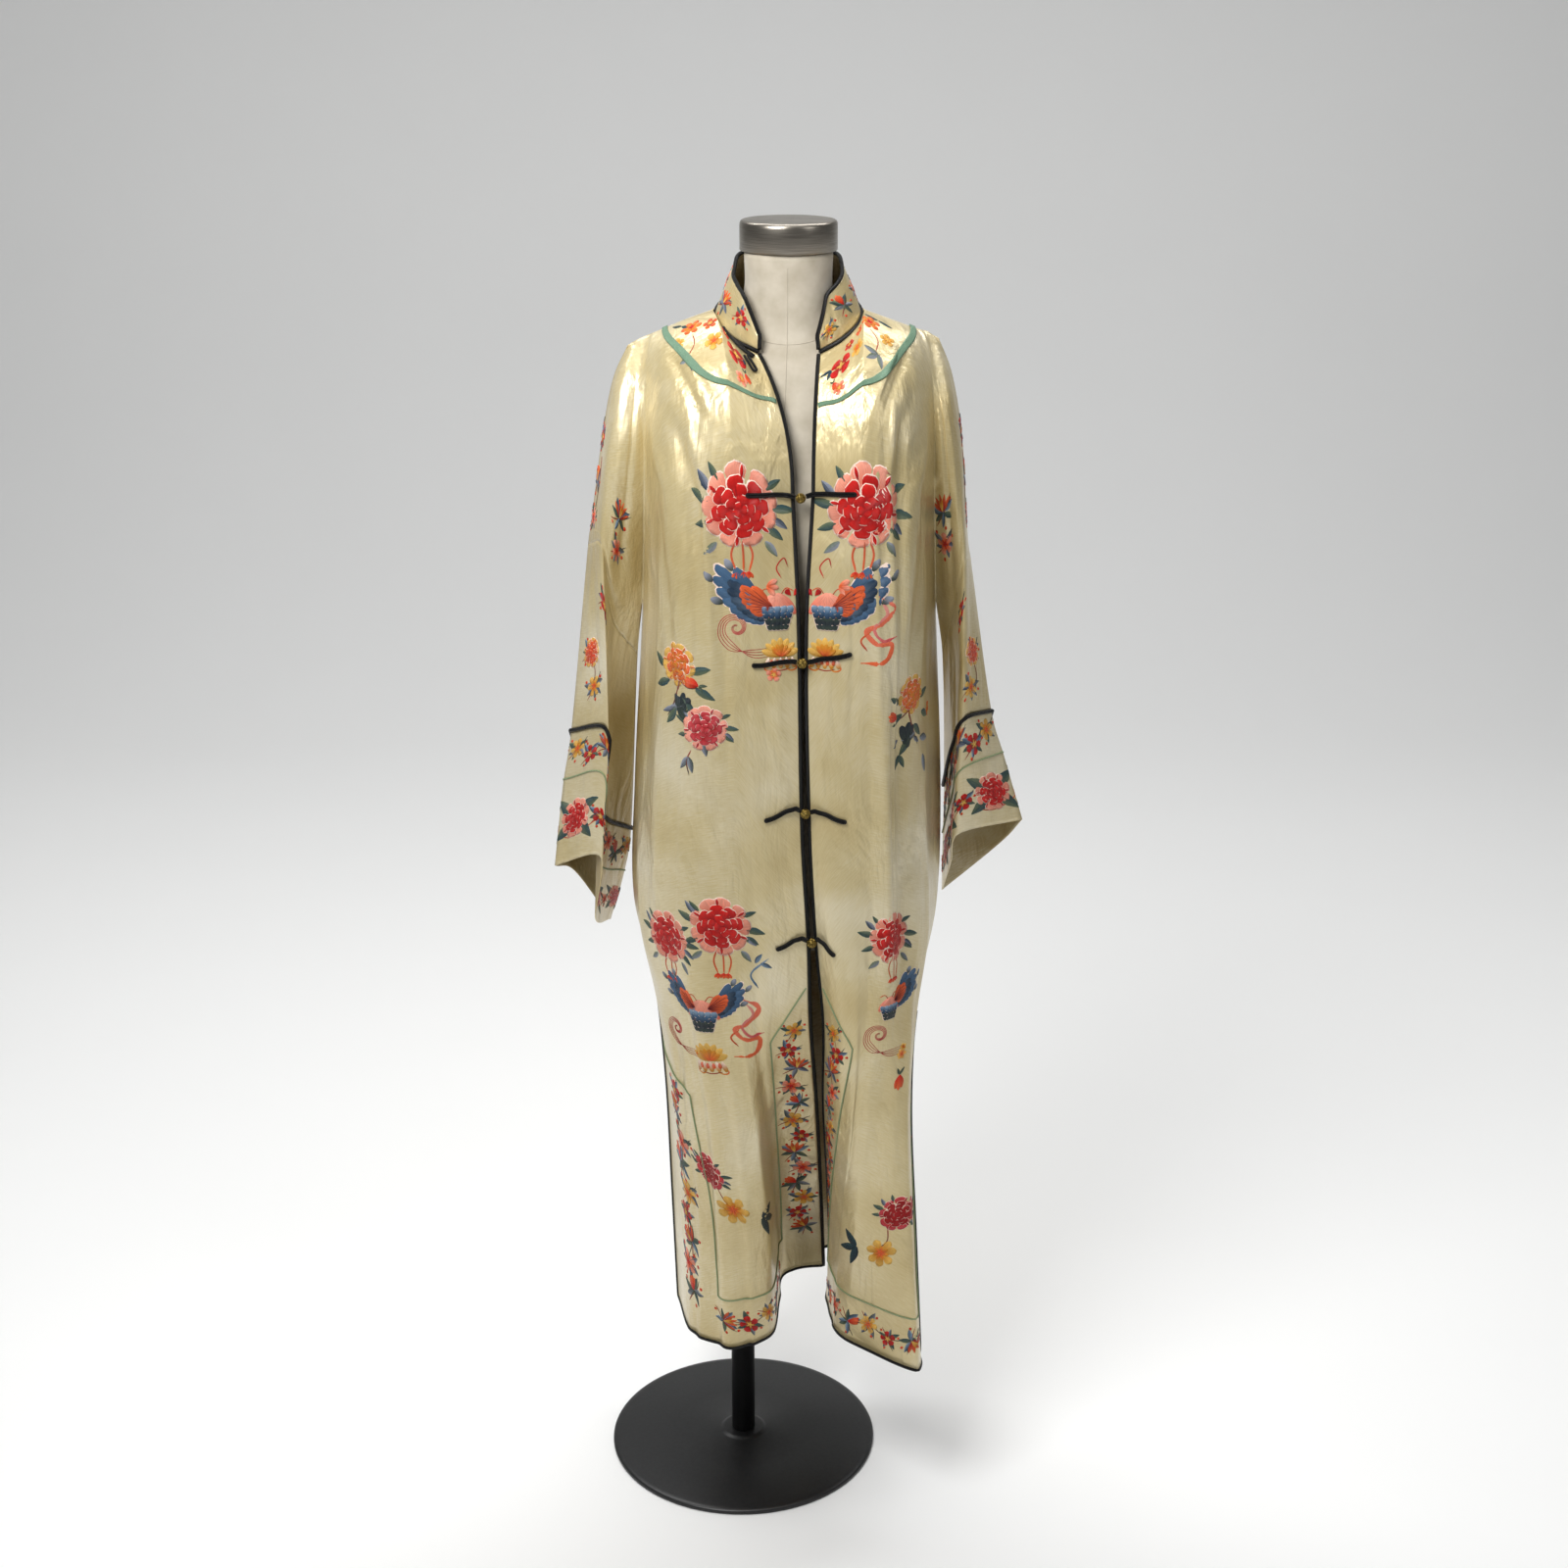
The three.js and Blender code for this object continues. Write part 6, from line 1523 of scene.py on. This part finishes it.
for side in signOf:
    for behind in (False, True):
        sleeveWork(side, behind)
total = float(collarAcross[-1])
for k, u in enumerate(np.linspace(34, total - 34, 10)):
    spray(pen("collar", u, 24 + (3 if k % 2 else -3), -1, needle.uniform(-25, 25)), 12, k + 1)
for name, work in stitchWork.items():
    parts = [(p, u, f) for p, u, _, f in work]
    points, uvs, faces = joined(parts)
    colours = np.concatenate([c for _, _, c, _ in work])
    obj = own(meshOf("embroidery_" + name, points, faces, uvs, np.clip(colours, 0, 1)), flossSilk, "silk")
    print("embroidery", name, len(faces) * 2, "triangles")
for name, parts in cords.items():
    points, uvs, faces = joined(parts)
    own(meshOf("green_cord_" + name, points, faces, uvs), greenCord, "green_ribbon")
# the dress form and its stand
formRows = np.array([
    (49, 1526.7, -50, 1526.7, 51, 1526.7), (49, 1486, -50.5, 1476, 52, 1488), (58, 1459, -57, 1438, 56, 1462),
    (102, 1438, -78, 1400, 64, 1430), (144, 1418, -98, 1352, 72, 1388), (154, 1392, -108, 1306, 78, 1340),
    (150, 1326, -114, 1262, 80, 1284), (144, 1230, -114, 1206, 78, 1210), (120, 1080, -92, 1074, 72, 1074),
    (126, 1000, -96, 1000, 84, 1000), (148, 880, -106, 880, 98, 880), (144, 790, -102, 790, 96, 790),
    (128, 728, -86, 728, 82, 728)], float)
form = {"around": 96, "between": 8, "squareness": 2.25, "seamRadius": 0.55}


def formGrid(angles):
    # superellipse rings: half-width and depths from the table, dipping from the sides to front and back
    count = (len(formRows) - 1) * form["between"] + 1
    at = np.linspace(0, len(formRows) - 1, count)
    rows = alongStations(formRows[None], at / (len(formRows) - 1))[0]
    across, deep = np.cos(angles), np.sin(angles)
    size = (np.abs(across)**form["squareness"] + np.abs(deep)**form["squareness"])**(-1 / form["squareness"])
    front = (deep < 0)[None, :]
    depth = np.where(front, -rows[:, 2:3], rows[:, 4:5])
    depthZ = np.where(front, rows[:, 3:4], rows[:, 5:6])
    z = rows[:, 1:2] + (depthZ - rows[:, 1:2]) * np.abs(deep)[None, :]**1.6
    return np.stack([rows[:, 0:1] * across * size, depth * deep * size, z], axis=2)


def lathe(name, profile, x, around, material, slotName, *nodes):
    # rings of (radius, height) from the bottom up, closed on the axis at both ends
    profile = np.array(profile, float)
    angles = np.linspace(0, 2 * np.pi, around, endpoint=False)
    ring = np.stack([np.cos(angles), np.sin(angles)], axis=1)
    grid = np.concatenate([profile[:, None, :1] * ring[None],
                           np.broadcast_to(profile[:, None, 1:], (len(profile), around, 1))],
                          axis=2) + (x, 0, 0)
    points = np.concatenate([grid.reshape(-1, 3), [(x, 0, profile[0, 1]), (x, 0, profile[-1, 1])]])
    return own(meshOf(name, points, tubeFaces(len(profile), around)), material, slotName, *nodes)


angles = np.linspace(0, 2 * np.pi, form["around"], endpoint=False)
torso = formGrid(angles)
points = np.concatenate([torso.reshape(-1, 3), [torso[0].mean(axis=0), torso[-1].mean(axis=0)]])
faces = tubeFaces(*torso.shape[:2], flipped=True)
own(meshOf("form_torso_linen", points, faces), undyedLinen, "linen", "form_torso")
# a seam down the torso's front and one round its neck
seamLine = formGrid(np.array([-np.pi / 2 - 0.03]))[:, 0]
seamLine = seamLine[2:int(7.4 * form["between"])]
seamParts = [cordMesh(seamLine, np.tile([(0.0, -1, 0.3)], (len(seamLine), 1)), form["seamRadius"], 6)]
angles = np.linspace(0, 2 * np.pi, 120, endpoint=False)
seamRing = formGrid(angles)[int(2.15 * form["between"])]
seamParts.append(cordMesh(seamRing, unit(seamRing * (1, 1, 0)), form["seamRadius"], 6, True))
points, uvs, faces = joined(seamParts)
own(meshOf("form_seams", points, faces, uvs), undyedLinen, "linen")
lathe("form_neck_cap", [(50.5, 1527), (53.2, 1527.3), (54, 1528.2), (54, 1554.5),
                        (53.7, 1556.8), (52.6, 1558.8), (50.8, 1559.8),
                        (49, 1560), (30, 1560)], 0, 128, brushedSteel, "steel", "form_cap")
lathe("form_pole_tube", [(15, 14.3), (15, 727.5)], -formX, 64, satinBlack, "black_steel", "form_pole")
lathe("form_round_foot", [(168.5, 0), (169.6, 0.6), (170, 1.6), (170, 4.2), (169.4, 5.2),
                          (167, 6.2), (162, 7), (90, 9.4), (31, 11.6),
                          (28.5, 12.4), (26.4, 13.8), (24, 14.2)], -formX, 160, satinBlack,
      "black_steel", "form_foot")
print("form and stand made")


# camera, floor and light
def lamp(name, place, turn, size, power):
    # one soft rectangular light
    light = bpy.data.lights.new(name, "AREA")
    light.shape = "RECTANGLE"
    light.size, light.size_y = size
    light.energy = power
    obj = bpy.data.objects.new(name, light)
    obj.location = place
    obj.rotation_euler = [math.radians(a) for a in turn]
    bpy.context.collection.objects.link(obj)


studio = {"floor": "#FBFBFA", "world": 0.19, "key": 26.0, "fill": 3.5, "top": 6.0, "backdrop": 118.0}
cameraData = bpy.data.cameras.new("camera")
cameraData.sensor_width, cameraData.lens = 36.0, 54.0
camera = bpy.data.objects.new("camera", cameraData)
camera.location = (0.053, -2.627, 1.836)
camera.rotation_euler = (math.radians(70.5), 0, 0)
bpy.context.collection.objects.link(camera)
bpy.context.scene.camera = camera

profileY = np.concatenate([[-6, 2.8], 2.8 + 1.2 * np.sin(np.linspace(0, np.pi / 2, 24)[1:]), [4]])
profileZ = np.concatenate([[0, 0], 1.2 - 1.2 * np.cos(np.linspace(0, np.pi / 2, 24)[1:]), [6]])
sweepX = np.array([-7.0, 7.0])
sweep = np.stack([np.broadcast_to(sweepX[None], (len(profileY), 2)),
                  np.broadcast_to(profileY[:, None], (len(profileY), 2)),
                  np.broadcast_to(profileZ[:, None], (len(profileY), 2))], axis=2) / mm - (formX, 0, 0)
floor = meshOf("studio_floor", sweep.reshape(-1, 3), gridFaces(len(profileY), 2))
paper = plainMaterial("studioPaper", studio["floor"], "#FAFAF9", 0.9, 0.0, 3.0, 0.0)
floor.data.materials.append(paper)

world = bpy.data.worlds.new("studio")
bpy.context.scene.world = world
world.use_nodes = True
world.node_tree.nodes["Background"].inputs["Color"].default_value = (*linear("#F6F8FA"), 1)
world.node_tree.nodes["Background"].inputs["Strength"].default_value = studio["world"]
lamp("key", (-0.5, -0.95, 2.22), (48, 0, -28), (0.7, 0.7), studio["key"])
lamp("fill", (1.3, -1.0, 2.1), (60, 0, 52), (0.6, 0.8), studio["fill"])
lamp("top", (0.2, -0.5, 3.2), (10, 0, 0), (1.4, 1.0), studio["top"])
lamp("backdrop", (0.0, 1.5, 4.0), (-30, 0, 0), (5.0, 1.0), studio["backdrop"])
bpy.context.scene.view_settings.view_transform = "Standard"
print("studio made")
